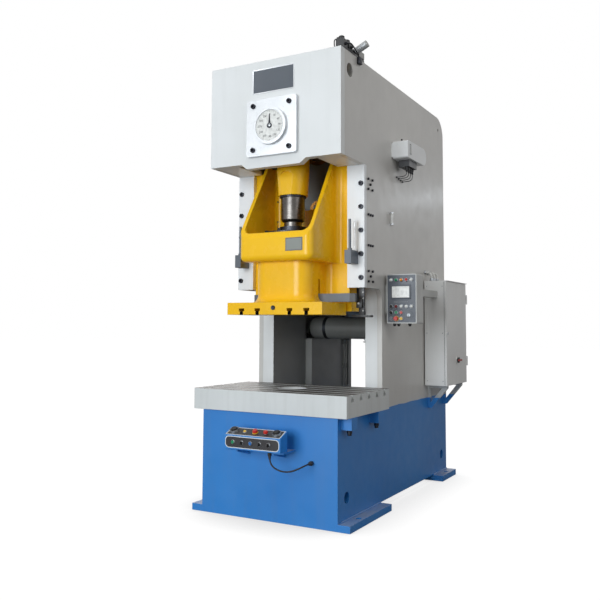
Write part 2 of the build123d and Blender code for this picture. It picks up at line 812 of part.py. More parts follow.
# Connecting rod: big end with a long pocket, tapered body with a front flat, screw bore
rod_r = 124
rod_low_r = 113
rod_length = 468
rod_taper_height = 190
rod_flat = 107
rod_flat_height = 110
rod_flat_half = 66
rod_bottom = crank_z - rod_length
web_clear = 15
rod_shoulder = crank_z - web_low_r - web_clear
big_end_r = 205
pocket_play = 20
pocket_side = 62
screw_r = 90
screw_drop = 310
screw_top = crank_z - screw_drop
adjust = 110
bore_spare = 20
rod_sink = 30
with BuildPart() as conrod:
    with BuildSketch(Plane.XZ.offset(-ram_y)):
        with BuildLine():
            Polyline(
                (0, rod_bottom),
                (rod_low_r, rod_bottom),
                (rod_r, rod_bottom + rod_taper_height),
                (rod_r, rod_shoulder),
                (0, rod_shoulder),
                close=True,
            )
        make_face()
    revolve(axis=Axis((0, ram_y, 0), (0, 0, 1)))
    with BuildSketch(Plane.XZ.offset(-(ram_y - rod_flat))):
        with Locations((0, rod_bottom)):
            Rectangle(2 * rod_flat_half, 2 * rod_flat_height)
        with Locations((0, rod_bottom + rod_flat_height)):
            Circle(rod_flat_half)
    extrude(amount=rod_r, mode=Mode.SUBTRACT)
    with BuildSketch(Plane.XY.offset(rod_shoulder)):
        with Locations((0, ram_y)):
            Circle(rod_r)
            Rectangle(2 * rod_r, rod_t, mode=Mode.INTERSECT)
    extrude(amount=pin_z - big_end_r + rod_sink - rod_shoulder)
    with BuildSketch(Plane.XZ.offset(-(ram_y - rod_t / 2))):
        with Locations((0, pin_z)):
            SlotCenterToCenter(2 * pocket_side, 2 * big_end_r)
            SlotCenterToCenter(2 * pocket_side, 2 * (pin_r + pocket_play), mode=Mode.SUBTRACT)
    extrude(amount=-rod_t)
    with BuildSketch(Plane.XY.offset(rod_bottom)):
        with Locations((0, ram_y)):
            Circle(screw_r + run_fit)
    extrude(amount=screw_top + adjust + bore_spare - rod_bottom, mode=Mode.SUBTRACT)
conrod.part.label = "conrod"
export_step(conrod.part, "parts/conrod.step")

# Lock ring under the connecting rod
ring_r = 101
ring_t = 14
ring_notch = (10, 9)
ring_notches = 12
with BuildPart() as lock_ring:
    with BuildSketch(Plane.XY.offset(rod_bottom - ring_t)):
        with Locations((0, ram_y)):
            Circle(ring_r)
            Circle(screw_r + run_fit, mode=Mode.SUBTRACT)
            with PolarLocations(ring_r, ring_notches):
                Rectangle(ring_notch[1], ring_notch[0], mode=Mode.SUBTRACT)
    extrude(amount=ring_t)
lock_ring.part.label = "lock_ring"
export_step(lock_ring.part, "parts/lock_ring.step")

# Adjusting screw with neck and ball end
screw_length = 340
screw_chamfer = 6
screw_end_r = 82
screw_end_t = 12
neck_run = 8
neck_r = 67
ball_r = 105
ball_drop = 870
screw_bottom = screw_top - screw_length
ball_z = crank_z - ball_drop
with BuildPart() as ball_screw:
    with BuildSketch(Plane.XZ.offset(-ram_y)):
        with BuildLine():
            neck_z = ball_z + sqrt(ball_r**2 - neck_r**2)
            Polyline(
                (0, screw_top),
                (screw_r - screw_chamfer, screw_top),
                (screw_r, screw_top - screw_chamfer),
                (screw_r, screw_bottom),
                (screw_end_r, screw_bottom - screw_end_t),
                (neck_r, screw_bottom - screw_end_t - neck_run),
                (neck_r, neck_z),
            )
            ThreePointArc((neck_r, neck_z), (ball_r, ball_z), (0, ball_z - ball_r))
            Line((0, ball_z - ball_r), (0, screw_top))
        make_face()
    revolve(axis=Axis((0, ram_y, 0), (0, 0, 1)))
ball_screw.part.label = "ball_screw"
export_step(ball_screw.part, "parts/ball_screw.step")

# Slide casting: flange, waist, upper box with horns, back wall window and guide rails
flange_half = 395
flange_reach = 285
flange_front = ram_y - flange_reach
flange_t = 89
flange_wide_end = -717
flange_rear_half = 345
flange_lift = 30
rear_foot_half = 428
rear_foot_t = 70
strip_gap = 60
cut_over = 10
slide_back = -535
waist_half = 226
waist_reach = 203
waist_front = ram_y - waist_reach
waist_round = 105
waist_blend = 45
foot_round = 58
under_round = 40
rail_web_back = rail_end + 5
box_rise = 390
box_bottom = slide_bottom + box_rise
box_half = 305
box_front = flange_front
box_round = 50
horn_rise = 1168
horn_top = slide_bottom + horn_rise
horn_foot_rise = 573
horn_foot_z = slide_bottom + horn_foot_rise
horn_foot_round = 80
horn_cut_lead = 0.3
horn_top_y = -725
horn_t = 30
front_wall_t = 42
front_wall_rise = 600
front_wall_top = slide_bottom + front_wall_rise
floor_rise = 548
floor_z = slide_bottom + floor_rise
inside_round = 40
back_wall_t = 40
window_r = 235
window_rise = 1058
window_z = slide_bottom + window_rise
opening_round = 55
rail_top_rise = 1128
rail_low_rise = 208
rail_top = slide_bottom + rail_top_rise
rail_low = slide_bottom + rail_low_rise
strip_outer = gib_inner - 1
seat_boss_r = 226
seat_rise = 594
seat_top = slide_bottom + seat_rise
cup_wall = 26
cover_ring_r = 217
cover_ring_t = 24
collar_r = 101
collar_t = 44
t_slot_xs = (-271, -135, 135, 271)
shank_r = 32.5
shank_depth = 75
knockout_hole_r = 13
clamp_r = 11
clamp_rise = 50
bar_height = 62
bar_depth = 30
bar_left = -330
bar_right = 525
bar_rise = 95
bar_slot_height = 170
bar_slot_bottom = slide_bottom + bar_rise
bar_slot_top = bar_slot_bottom + bar_slot_height
bar_fit = 0.5
seat_r = ball_r + run_fit
flange_top = slide_bottom + flange_t
with BuildPart() as slide:
    # flange, with its raised rear part
    with BuildSketch(Plane.XY.offset(slide_bottom)):
        with Locations((0, (flange_front + flange_wide_end) / 2)):
            Rectangle(2 * flange_half, flange_wide_end - flange_front)
    extrude(amount=flange_t)
    with BuildSketch(Plane.XY.offset(slide_bottom + flange_lift)):
        with Locations((0, (flange_wide_end + slide_back) / 2)):
            Rectangle(2 * flange_rear_half, slide_back - flange_wide_end)
    extrude(amount=flange_t - flange_lift)
    # waist, with a round foot on the flange
    with BuildSketch(Plane.XY.offset(flange_top)) as waist:
        with Locations((0, (waist_front + rail_web_back) / 2)):
            Rectangle(2 * waist_half, rail_web_back - waist_front)
        fillet(waist.vertices().group_by(Axis.Y)[0], waist_round)
    extrude(amount=box_bottom - flange_top)
    flange_joint = slide.edges().filter_by_position(Axis.Z, flange_top - 0.1, flange_top + 0.1)
    waist_foot = flange_joint.filter_by(
        lambda e: abs(e.center().X) < waist_half + 1 and waist_front - 1 < e.center().Y < rail_web_back - 1
    )
    fillet(waist_foot, foot_round)
    # upper box, rounded underneath
    with BuildSketch(Plane.XY.offset(box_bottom)) as upper_box:
        with Locations((0, (box_front + rail_web_back) / 2)):
            Rectangle(2 * box_half, rail_web_back - box_front)
        fillet(upper_box.vertices().group_by(Axis.Y)[0], box_round)
    extrude(amount=horn_top - box_bottom)
    box_joint = slide.edges().filter_by_position(Axis.Z, box_bottom - 0.1, box_bottom + 0.1)
    box_under = box_joint.filter_by(
        lambda e: (abs(e.center().X) > waist_half + 5 or e.center().Y < waist_front - 5)
        and e.center().Y < rail_web_back - 1
    )
    fillet(box_under, under_round)
    # rail strips each side, with their inner corners blended in plan
    for half, strip_low, strip_high in (
        (waist_half, flange_top, box_bottom),
        (box_half, box_bottom, rail_top),
    ):
        with BuildSketch(Plane.XY.offset(strip_low)) as strips:
            with Locations((0, rail_web_back)):
                Rectangle(2 * half, 2 * rail_depth, align=(Align.CENTER, Align.MAX))
                strip_depth = rail_web_back - gib_back - slide_fit
                Rectangle(2 * strip_outer, strip_depth, align=(Align.CENTER, Align.MAX))
            inner_corners = strips.vertices().filter_by(
                lambda v: abs(abs(v.X) - half) < 1 and v.Y > rail_web_back - rail_depth - 10
                and v.Y < rail_web_back - 10
            )
            fillet(inner_corners, waist_blend)
        extrude(amount=strip_high - strip_low)
    # rear foot under the rails, with a relief between it and the strips
    with BuildSketch(Plane.XY.offset(slide_bottom + flange_lift)):
        with Locations((0, (gib_back + slide_fit + rail_end) / 2)):
            Rectangle(2 * rear_foot_half, rail_end - gib_back - slide_fit)
    extrude(amount=rear_foot_t)
    relief_low = slide_bottom + flange_lift + rear_foot_t
    with BuildSketch(Plane.XZ.offset(-(gib_back - cut_over))):
        for side in (1, -1):
            with Locations((side * (flange_rear_half + strip_outer + cut_over) / 2, relief_low + strip_gap / 2)):
                Rectangle(strip_outer + cut_over - flange_rear_half, strip_gap)
    extrude(amount=-(rail_web_back - gib_back + 2 * cut_over), mode=Mode.SUBTRACT)
    # slanted front of the horns, rounded where it meets the front wall
    cut_start = box_front - horn_cut_lead
    cut_corner_z = horn_foot_z - horn_cut_lead * (horn_top - horn_foot_z) / (horn_top_y - box_front)
    with BuildSketch(Plane.YZ.offset(-box_half)):
        with BuildLine():
            Polyline(
                (box_front - cut_over, horn_foot_z - horn_foot_round),
                (cut_start, horn_foot_z - horn_foot_round),
                (cut_start, cut_corner_z),
                (horn_top_y, horn_top),
                (horn_top_y, horn_top + cut_over),
                (box_front - cut_over, horn_top + cut_over),
                close=True,
            )
        slant = make_face().vertices()
        fillet(slant.sort_by_distance((cut_start, cut_corner_z, 0))[0], horn_foot_round)
    extrude(amount=2 * box_half, mode=Mode.SUBTRACT)
    # inside of the upper box, open at the top
    with BuildSketch(Plane.XY.offset(floor_z)):
        inside_back = rail_web_back - back_wall_t
        with Locations((0, (box_front + front_wall_t + inside_back) / 2)):
            RectangleRounded(2 * (box_half - horn_t), inside_back - box_front - front_wall_t, inside_round)
    extrude(amount=horn_top - floor_z, mode=Mode.SUBTRACT)
    # front opening between the horns
    with BuildSketch(Plane.XZ.offset(-(box_front - cut_over))):
        opening_height = 2 * (horn_top - front_wall_top)
        with Locations((0, front_wall_top + opening_height / 2)):
            RectangleRounded(2 * (box_half - horn_t), opening_height, opening_round)
    extrude(amount=-(front_wall_t + inside_round + 2 * cut_over), mode=Mode.SUBTRACT)
    # window in the back wall
    with BuildSketch(Plane.XZ.offset(-(inside_back - cut_over))):
        with Locations((0, window_z)):
            Circle(window_r)
        with Locations((0, (window_z + horn_top + cut_over) / 2)):
            Rectangle(2 * window_r, horn_top + cut_over - window_z)
    extrude(amount=-(back_wall_t + 2 * cut_over), mode=Mode.SUBTRACT)
    # seat boss on the floor
    with BuildSketch(Plane.XY.offset(floor_z)):
        with Locations((0, ram_y)):
            Circle(seat_boss_r)
    extrude(amount=seat_top - floor_z)
    # outer guide rails
    for side in (1, -1):
        rail_width = rail_outer - strip_outer
        with Locations((
            side * (strip_outer + rail_width / 2),
            (gib_back + slide_fit + rail_end) / 2,
            (rail_low + rail_top) / 2,
        )):
            Box(rail_width, rail_end - gib_back - slide_fit, rail_top - rail_low)
    # ball seat pocket
    with BuildSketch(Plane.XZ.offset(-ram_y)):
        with BuildLine():
            cup_r = seat_r + cup_wall
            Polyline((0, ball_z - cup_r), (cup_r, ball_z - cup_r), (cup_r, seat_top), (0, seat_top), close=True)
        make_face()
    revolve(axis=Axis((0, ram_y, 0), (0, 0, 1)), mode=Mode.SUBTRACT)
    # T-slots in the underside
    for slot_x in t_slot_xs:
        with BuildSketch(Plane.XZ.offset(-flange_front)):
            with Locations((slot_x, slide_bottom)):
                Rectangle(slot_gap, slot_mouth + slot_head_t, align=(Align.CENTER, Align.MIN))
            with Locations((slot_x, slide_bottom + slot_mouth)):
                Rectangle(slot_head, slot_head_t, align=(Align.CENTER, Align.MIN))
        extrude(amount=-(slide_back - flange_front), mode=Mode.SUBTRACT)
    # shank hole, its clamp screw hole, and the knockout slot
    with BuildSketch(Plane.XY.offset(slide_bottom)):
        with Locations((0, ram_y)):
            Circle(shank_r)
    extrude(amount=shank_depth, mode=Mode.SUBTRACT)
    with BuildSketch(Plane.XY.offset(slide_bottom + shank_depth)):
        with Locations((0, ram_y)):
            Circle(knockout_hole_r)
    extrude(amount=bar_slot_bottom - slide_bottom - shank_depth, mode=Mode.SUBTRACT)
    with BuildSketch(Plane.XZ.offset(-flange_front)):
        with Locations((0, slide_bottom + clamp_rise)):
            Circle(clamp_r)
    extrude(amount=-(ram_y - flange_front), mode=Mode.SUBTRACT)
    with BuildSketch(Plane.YZ.offset(-strip_outer)):
        with Locations((ram_y, (bar_slot_bottom + bar_slot_top) / 2)):
            Rectangle(bar_depth + 2 * bar_fit, bar_slot_top - bar_slot_bottom)
    extrude(amount=2 * strip_outer, mode=Mode.SUBTRACT)
slide.part.label = "slide"
export_step(slide.part, "parts/slide.step")

# Ball seat: lower cup, cover ring with collar, and its bolts
seat_bolt_r = 14
seat_bolt_t = 18
seat_bolt_circle = 200
seat_bolt_count = 6
neck_clear = 8
with BuildPart() as ball_seat:
    with BuildSketch(Plane.XZ.offset(-ram_y)):
        with BuildLine():
            neck_hole = neck_r + neck_clear
            mouth_z = ball_z + sqrt(seat_r**2 - neck_hole**2)
            cover_top = seat_top + cover_ring_t
            Polyline(
                (0, ball_z - cup_r),
                (cup_r, ball_z - cup_r),
                (cup_r, seat_top),
                (cover_ring_r, seat_top),
                (cover_ring_r, cover_top),
                (collar_r, cover_top),
                (collar_r, cover_top + collar_t),
                (neck_hole, cover_top + collar_t),
                (neck_hole, mouth_z),
            )
            ThreePointArc((neck_hole, mouth_z), (seat_r, ball_z), (0, ball_z - seat_r))
            Line((0, ball_z - seat_r), (0, ball_z - cup_r))
        make_face()
    revolve(axis=Axis((0, ram_y, 0), (0, 0, 1)))
    with BuildSketch(Plane.XY.offset(cover_top)):
        with Locations((0, ram_y)):
            with PolarLocations(seat_bolt_circle, seat_bolt_count, start_angle=180 / seat_bolt_count):
                RegularPolygon(seat_bolt_r, 6)
    extrude(amount=seat_bolt_t)
ball_seat.part.label = "ball_seat"
export_step(ball_seat.part, "parts/ball_seat.step")

# Knockout bar through the slide, resting in the slot and pushed to the right
bar_round = 6
with BuildPart() as knockout_bar:
    with Locations(((bar_left + bar_right) / 2, ram_y, bar_slot_bottom + bar_height / 2)):
        Box(bar_right - bar_left, bar_depth, bar_height)
    fillet(knockout_bar.edges().filter_by(Axis.Y), bar_round)
knockout_bar.part.label = "knockout_bar"
export_step(knockout_bar.part, "parts/knockout_bar.step")

# Knockout stops on the gib plates, each with a hanging stop screw
stop_x = 474
stop_width = 52
stop_rise = 169
stop_height = 98
stop_depth = 125
stop_screw_r = 10
stop_screw_length = 330
stop_screw_out = 4
stop_nut_r = 18
stop_nut_t = 14
stop_bottom = throat_top + stop_rise
stop_screw_bottom = stop_bottom - stop_screw_out
with BuildPart() as knockout_stops:
    for side in (1, -1):
        with Locations((side * stop_x, gib_front - stop_depth / 2, stop_bottom + stop_height / 2)):
            Box(stop_width, stop_depth, stop_height)
        with BuildSketch(Plane.XY.offset(stop_screw_bottom)):
            with Locations((side * stop_x, ram_y)):
                Circle(stop_screw_r)
        extrude(amount=stop_screw_length)
        with BuildSketch(Plane.XY.offset(stop_bottom + stop_height)):
            with Locations((side * stop_x, ram_y)):
                RegularPolygon(stop_nut_r, 6)
        extrude(amount=stop_nut_t)
knockout_stops.part.label = "knockout_stops"
export_step(knockout_stops.part, "parts/knockout_stops.step")

# Dial pointer on the crankshaft spigot
pointer_length = 84
pointer_t = 3
pointer_lift = 2
pointer_low_half = 9
pointer_tip_half = 1.5
pointer_hub_r = 20
pointer_start = -head_front + cover_t + dial_t - dial_sink + pointer_lift
with BuildPart() as dial_pointer:
    with BuildSketch(Plane.XZ.offset(pointer_start)):
        with Locations((0, crank_z)):
            Circle(pointer_hub_r)
        with BuildLine():
            Polyline(
                (-pointer_low_half, crank_z),
                (pointer_low_half, crank_z),
                (pointer_tip_half, crank_z + pointer_length),
                (-pointer_tip_half, crank_z + pointer_length),
                close=True,
            )
        make_face()
        with Locations((0, crank_z)):
            Circle(spigot_r, mode=Mode.SUBTRACT)
    extrude(amount=pointer_t)
dial_pointer.part.label = "dial_pointer"
export_step(dial_pointer.part, "parts/dial_pointer.step")

# Air receiver between the columns, with its two pipes
receiver_r = 95
receiver_clear = 12
receiver_y = front_box_back + receiver_r + receiver_clear
receiver_z = shelf_z + receiver_r
receiver_end = 15
receiver_half = column_inner - receiver_end
receiver_round = 45
pipe_r = 9
pipe_stand = 8
pipe_ys = (795, 860)
pipe_x = -rear_box_inner + pipe_r + pipe_stand
clip_height = 44
clip_margin = 22
clip_drops = (265, 40)
bed_level = bolster_z - bed_t
with BuildPart() as air_receiver:
    with BuildSketch(Plane.YZ.offset(-receiver_half)):
        with Locations((receiver_y, receiver_z)):
            Circle(receiver_r)
    extrude(amount=2 * receiver_half)
    fillet(air_receiver.edges().filter_by(GeomType.CIRCLE), receiver_round)
    with BuildSketch(Plane.XY.offset(bed_level)):
        for pipe_y in pipe_ys:
            with Locations((pipe_x, pipe_y)):
                Circle(pipe_r)
    extrude(amount=shelf_z - bed_level)
    for clip_drop in clip_drops:
        with Locations((pipe_x - (pipe_r + pipe_stand) / 2, (pipe_ys[0] + pipe_ys[1]) / 2, shelf_z - clip_drop)):
            Box(pipe_r + pipe_stand, pipe_ys[1] - pipe_ys[0] + 2 * clip_margin, clip_height)
air_receiver.part.label = "air_receiver"
export_step(air_receiver.part, "parts/air_receiver.step")

# Lubricator on the right side plate: housing, filler cap, pump block and outlets
lub_front = -194
lub_back = 165
lub_drop = 110
lub_height = 140
lub_low = crank_z - lub_drop
lub_high = lub_low + lub_height
lub_width = 140
lub_outer = side_x + lub_width
lub_wall = 10
lub_pad_margin = 15
lub_round = 16
cap_r = 20
cap_t = 26
cap_y = -20
cap_inset = 60
pump_size = (90, 170, 56)
pump_y = -30
pump_x = side_x + lub_width - 65
with BuildPart() as lubricator:
    with BuildSketch(Plane.YZ.offset(side_x + lub_wall)):
        with BuildLine():
            lub_half = (lub_high - lub_low) / 2
            Line((lub_back, lub_low), (lub_front, lub_low))
            Line((lub_front, lub_low), (lub_front, lub_high))
            Line((lub_front, lub_high), (lub_back, lub_high))
            ThreePointArc((lub_back, lub_high), (lub_back + lub_half, lub_low + lub_half), (lub_back, lub_low))
        make_face()
    extrude(amount=lub_outer - side_x - lub_wall)
    fillet(lubricator.edges().filter_by(Axis.X).filter_by_position(Axis.Y, lub_front - 1, lub_front + 1), lub_round)
    with Locations((side_x + lub_wall / 2, (lub_front + lub_back) / 2, (lub_low + lub_high) / 2)):
        Box(lub_wall, lub_back - lub_front, lub_height - 2 * lub_pad_margin)
    with BuildSketch(Plane.XY.offset(lub_high)):
        with Locations((lub_outer - cap_inset, cap_y)):
            Circle(cap_r)
    extrude(amount=cap_t)
    with Locations((pump_x, pump_y, lub_low - pump_size[2] / 2)):
        Box(*pump_size)
lubricator.part.label = "lubricator"
export_step(lubricator.part, "parts/lubricator.step")

# Clutch air valve on the head: manifold, two valve bodies, inlet block and tilted muffler
valve_edge = 50
valve_x = side_x - valve_edge
valve_base = (90, 340, 24)
valve_y = -890
valve_body = (64, 62, 64)
valve_body_steps = (-120, -30)
valve_cap_r = 17
valve_cap_t = 26
inlet_size = (70, 90, 44)
inlet_shift = (15, 120)
muffler_r = 26
muffler_length = 125
muffler_tilt = 26
muffler_neck_r = 12
muffler_neck = 20
muffler_shift = (12, 55, 20)
valve_seat = frame_top + valve_base[2]
with BuildPart() as clutch_valve:
    with Locations((valve_x, valve_y, frame_top + valve_base[2] / 2)):
        Box(*valve_base)
    for step in valve_body_steps:
        with Locations((valve_x, valve_y + step, valve_seat + valve_body[2] / 2)):
            Box(*valve_body)
        with BuildSketch(Plane.XY.offset(valve_seat + valve_body[2])):
            with Locations((valve_x, valve_y + step)):
                Circle(valve_cap_r)
        extrude(amount=valve_cap_t)
    with Locations((valve_x + inlet_shift[0], valve_y + inlet_shift[1], valve_seat + inlet_size[2] / 2)):
        Box(*inlet_size)
    muffler_plane = Plane(
        origin=(valve_x + muffler_shift[0], valve_y + muffler_shift[1], valve_seat + muffler_shift[2]),
        z_dir=(cos(radians(muffler_tilt)), 0, sin(radians(muffler_tilt))),
    )
    with BuildSketch(muffler_plane):
        Circle(muffler_r)
    extrude(amount=muffler_length)
    with BuildSketch(muffler_plane.offset(-muffler_neck)):
        Circle(muffler_neck_r)
    extrude(amount=muffler_neck)
clutch_valve.part.label = "clutch_valve"
export_step(clutch_valve.part, "parts/clutch_valve.step")

# Electrical cabinet: open shell with a rain lip and hinge knuckles
cab_stand = 10
cab_depth = 195
cab_front = 530
cab_width = 578
cab_bottom = 845
cab_height = 900
cab_wall = 4
door_t = 18
lip_out = 12
pad_drop = 120
pad_height = 40
pad_inset = 60
hinge_r = 8
hinge_rises = (155, 715)
hinge_leaf = 4
hinge_reach = 30
knuckle = 40
cab_inner = side_x + cab_stand
cab_outer = cab_inner + cab_depth
cab_back = cab_front + cab_width
cab_top = cab_bottom + cab_height
cab_middle = (cab_front + cab_back) / 2
hinge_out = 2
hinge_stand = 10
hinge_x = cab_outer + hinge_out
hinge_y = cab_back + hinge_stand
shell_depth = cab_depth - door_t
with BuildPart() as cabinet_shell:
    with BuildSketch(Plane.YZ.offset(cab_inner)):
        with Locations((cab_middle, (cab_bottom + cab_top) / 2)):
            Rectangle(cab_width, cab_height)
    extrude(amount=shell_depth)
    with BuildSketch(Plane.YZ.offset(cab_inner + cab_wall)):
        with Locations((cab_middle, (cab_bottom + cab_top) / 2)):
            Rectangle(cab_width - 2 * cab_wall, cab_height - 2 * cab_wall)
    extrude(amount=shell_depth, mode=Mode.SUBTRACT)
    with Locations((cab_inner + (cab_depth + lip_out) / 2, cab_middle, cab_top + cab_wall / 2)):
        Box(cab_depth + lip_out, cab_width, cab_wall)
    with Locations((cab_inner - cab_stand / 2, cab_middle, cab_top - pad_drop)):
        Box(cab_stand, cab_width - 2 * pad_inset, pad_height)
    for hinge_rise in hinge_rises:
        with BuildSketch(Plane.XY.offset(cab_bottom + hinge_rise + knuckle)):
            with Locations((hinge_x, hinge_y)):
                Circle(hinge_r)
            with Locations((cab_outer - door_t - hinge_reach / 2, cab_back)):
                Rectangle(hinge_reach, hinge_leaf, align=(Align.MIN, Align.MIN))
            with Locations((cab_outer, cab_back)):
                Rectangle(hinge_leaf, hinge_stand, align=(Align.MAX, Align.MIN))
        extrude(amount=knuckle)
cabinet_shell.part.label = "cabinet_shell"
export_step(cabinet_shell.part, "parts/cabinet_shell.step")

# Cabinet brackets: two welded triangles on the side plate
bracket_insets = (90, 78)
bracket_w = 30
bracket_drop = 200
bracket_setback = 25
bracket_toe = 34
bar_t = 25
brace_reach = 50
brace_rise = 45
bracket_reach = cab_stand + cab_depth - bracket_setback
bracket_ys = (cab_front + bracket_insets[0], cab_back - bracket_insets[1])
with BuildPart() as cabinet_brackets:
    for bracket_y in bracket_ys:
        with BuildSketch(Plane.XZ.offset(-bracket_y)):
            with BuildLine():
                Polyline(
                    (side_x, cab_bottom),
                    (side_x + bracket_reach, cab_bottom),
                    (side_x + bracket_reach, cab_bottom - bar_t),
                    (side_x + bracket_toe, cab_bottom - bracket_drop),
                    (side_x, cab_bottom - bracket_drop),
                    close=True,
                )
            make_face()
            with BuildLine():
                Polyline(
                    (side_x + bar_t, cab_bottom - bar_t),
                    (side_x + bracket_reach - brace_reach, cab_bottom - bar_t),
                    (side_x + bar_t, cab_bottom - bracket_drop + brace_rise),
                    close=True,
                )
            make_face(mode=Mode.SUBTRACT)
        extrude(amount=-bracket_w)
cabinet_brackets.part.label = "cabinet_brackets"
export_step(cabinet_brackets.part, "parts/cabinet_brackets.step")

# Cabinet mounting panel with rows of switchgear
panel_t = 8
panel_margin = 30
device_gap = 14
device_front = 95
device_rows = ((755, 6, 60, 90), (575, 5, 80, 110), (365, 2, 190, 180), (135, 4, 90, 100))
panel_x = cab_inner + cab_wall
with BuildPart() as cabinet_panel:
    with Locations((panel_x + panel_t / 2, cab_middle, (cab_bottom + cab_top) / 2)):
        Box(panel_t, cab_width - 2 * panel_margin, cab_height - 2 * panel_margin)
    for row_rise, count, width, height in device_rows:
        with BuildSketch(Plane.YZ.offset(panel_x + panel_t)):
            with Locations((cab_middle, cab_bottom + row_rise)):
                with GridLocations(width + device_gap, 0, count, 1):
                    Rectangle(width, height)
        extrude(amount=shell_depth - device_front - cab_wall - panel_t)
cabinet_panel.part.label = "cabinet_panel"
export_step(cabinet_panel.part, "parts/cabinet_panel.step")

# Cabinet door: a shallow pan with hinge knuckles and a turn lock
pan_wall = 4
pan_rim = 20
door_gap = 1
leaf_lap = 6
knuckle_gap = 0.3
lock_inset = 22
lock_r = 12
lock_t = 5
isolator_rise = 212
isolator_plate_r = 34
isolator_plate_t = 8
isolator_shaft_r = 8
lock_y = cab_front + lock_inset
lock_z = (cab_bottom + cab_top) / 2
isolator_y = cab_middle
isolator_z = cab_bottom + isolator_rise
with BuildPart() as cabinet_door:
    with BuildSketch(Plane.YZ.offset(cab_outer - door_t)):
        with Locations((cab_middle, (cab_bottom + cab_top) / 2)):
            Rectangle(cab_width, cab_height - 2 * door_gap)
    extrude(amount=door_t)
    with BuildSketch(Plane.YZ.offset(cab_outer - door_t)):
        with Locations((cab_middle, (cab_bottom + cab_top) / 2)):
            Rectangle(cab_width - 2 * pan_rim, cab_height - 2 * door_gap - 2 * pan_rim)
    extrude(amount=door_t - pan_wall, mode=Mode.SUBTRACT)
    with BuildSketch(Plane.YZ.offset(cab_outer)):
        with Locations((lock_y, lock_z)):
            Circle(lock_r)
    extrude(amount=lock_t)
    for hinge_rise in hinge_rises:
        with BuildSketch(Plane.XY.offset(cab_bottom + hinge_rise)):
            with Locations((hinge_x, hinge_y)):
                Circle(hinge_r)
            with Locations((cab_outer, cab_back - leaf_lap)):
                Rectangle(hinge_leaf, hinge_stand + leaf_lap, align=(Align.MAX, Align.MIN))
        extrude(amount=knuckle - knuckle_gap)
    with BuildSketch(Plane.YZ.offset(cab_outer)):
        with Locations((isolator_y, isolator_z)):
            Circle(isolator_plate_r)
    extrude(amount=isolator_plate_t)
    with BuildSketch(Plane.YZ.offset(cab_outer - pan_wall)):
        with Locations((isolator_y, isolator_z)):
            Circle(isolator_shaft_r + run_fit)
    extrude(amount=pan_wall + isolator_plate_t, mode=Mode.SUBTRACT)
cabinet_door.part.label = "cabinet_door"
export_step(cabinet_door.part, "parts/cabinet_door.step")

# Isolator handle
handle_hub_r = 24
handle_size = (76, 15)
handle_step = 14
with BuildPart() as isolator_handle:
    with BuildSketch(Plane.YZ.offset(cab_outer - pan_wall)):
        with Locations((isolator_y, isolator_z)):
            Circle(isolator_shaft_r)
    extrude(amount=pan_wall + isolator_plate_t)
    with BuildSketch(Plane.YZ.offset(cab_outer + isolator_plate_t)):
        with Locations((isolator_y, isolator_z)):
            Circle(handle_hub_r)
            Rectangle(*handle_size)
    extrude(amount=handle_step)
    with BuildSketch(Plane.YZ.offset(cab_outer + isolator_plate_t + handle_step)):
        with Locations((isolator_y, isolator_z)):
            Rectangle(*handle_size)
    extrude(amount=handle_step)
isolator_handle.part.label = "isolator_handle"
export_step(isolator_handle.part, "parts/isolator_handle.step")

# Control box: hollow shell, mounting pad and duct arm to the cabinet
box_stand = 23
box_pad = (90, 220)
box_left = side_x + box_stand
box_width = 240
box_low = 1375
box_height = 375
box_face = -365
box_depth = 150
panel_wall = 4
case_round = 8
case_rim = 6
stem_r = 11
stem_tail = 8
lamp_out = 7
screen_out = 3
column_first = box_left + 36
column_pitch = 41
row_high = box_low + 129
row_pitch = 46
lamp_row = box_low + 331
key_x = box_left + 179
key_z = box_low + 62
screen_x = box_left + 116
screen_z = box_low + 239
screen_size = (150, 96)
duct_x = box_left + 74
duct_z = box_low + 254
duct_size = 58
control_xs = [column_first + column_pitch * i for i in range(5)]
control_rows = [row_high - row_pitch * i for i in range(3)]
control_places = {
    "mode_selector": (control_xs[0], control_rows[0]),
    "motor_selector": (control_xs[1], control_rows[0]),
    "jog_selector": (control_xs[0], control_rows[1]),
    "start_button": (control_xs[1], control_rows[1]),
    "stop_button": (control_xs[2], control_rows[1]),
    "reset_button": (control_xs[0], control_rows[2]),
    "box_stop": (control_xs[1], control_rows[2]),
    "lamp_button": (control_xs[2], control_rows[2]),
    "key_switch": (key_x, key_z),
}
control_lamps = [(x, lamp_row) for x in control_xs] + [(x, control_rows[0]) for x in control_xs[2:]]
with BuildPart() as control_box:
    box_middle = box_left + box_width / 2
    with BuildSketch(Plane.XZ.offset(-box_face)):
        with Locations((box_middle, box_low + box_height / 2)):
            RectangleRounded(box_width, box_height, case_round)
    extrude(amount=-box_depth)
    with BuildSketch(Plane.XZ.offset(-box_face - panel_wall)):
        with Locations((box_middle, box_low + box_height / 2)):
            Rectangle(box_width - 2 * case_rim, box_height - 2 * case_rim)
    extrude(amount=-(box_depth - 2 * panel_wall), mode=Mode.SUBTRACT)
    with BuildSketch(Plane.XZ.offset(-box_face)):
        for x, z in control_places.values():
            with Locations((x, z)):
                Circle(stem_r + run_fit)
    extrude(amount=-panel_wall, mode=Mode.SUBTRACT)
    with BuildSketch(Plane.XZ.offset(-box_face)):
        with Locations(*control_lamps):
            RegularPolygon(stem_r, 12)
    extrude(amount=lamp_out)
    with BuildSketch(Plane.XZ.offset(-box_face)):
        with Locations((screen_x, screen_z)):
            Rectangle(*screen_size)
    extrude(amount=screen_out)
    with Locations((box_left - box_stand / 2, box_face + box_depth / 2, box_low + box_height / 2)):
        Box(box_stand, box_pad[0], box_pad[1])
    with BuildSketch(Plane.XZ.offset(-box_face - box_depth)):
        with Locations((duct_x, duct_z)):
            Rectangle(duct_size, duct_size)
    extrude(amount=-(cab_front - box_face - box_depth))
control_box.part.label = "control_box"
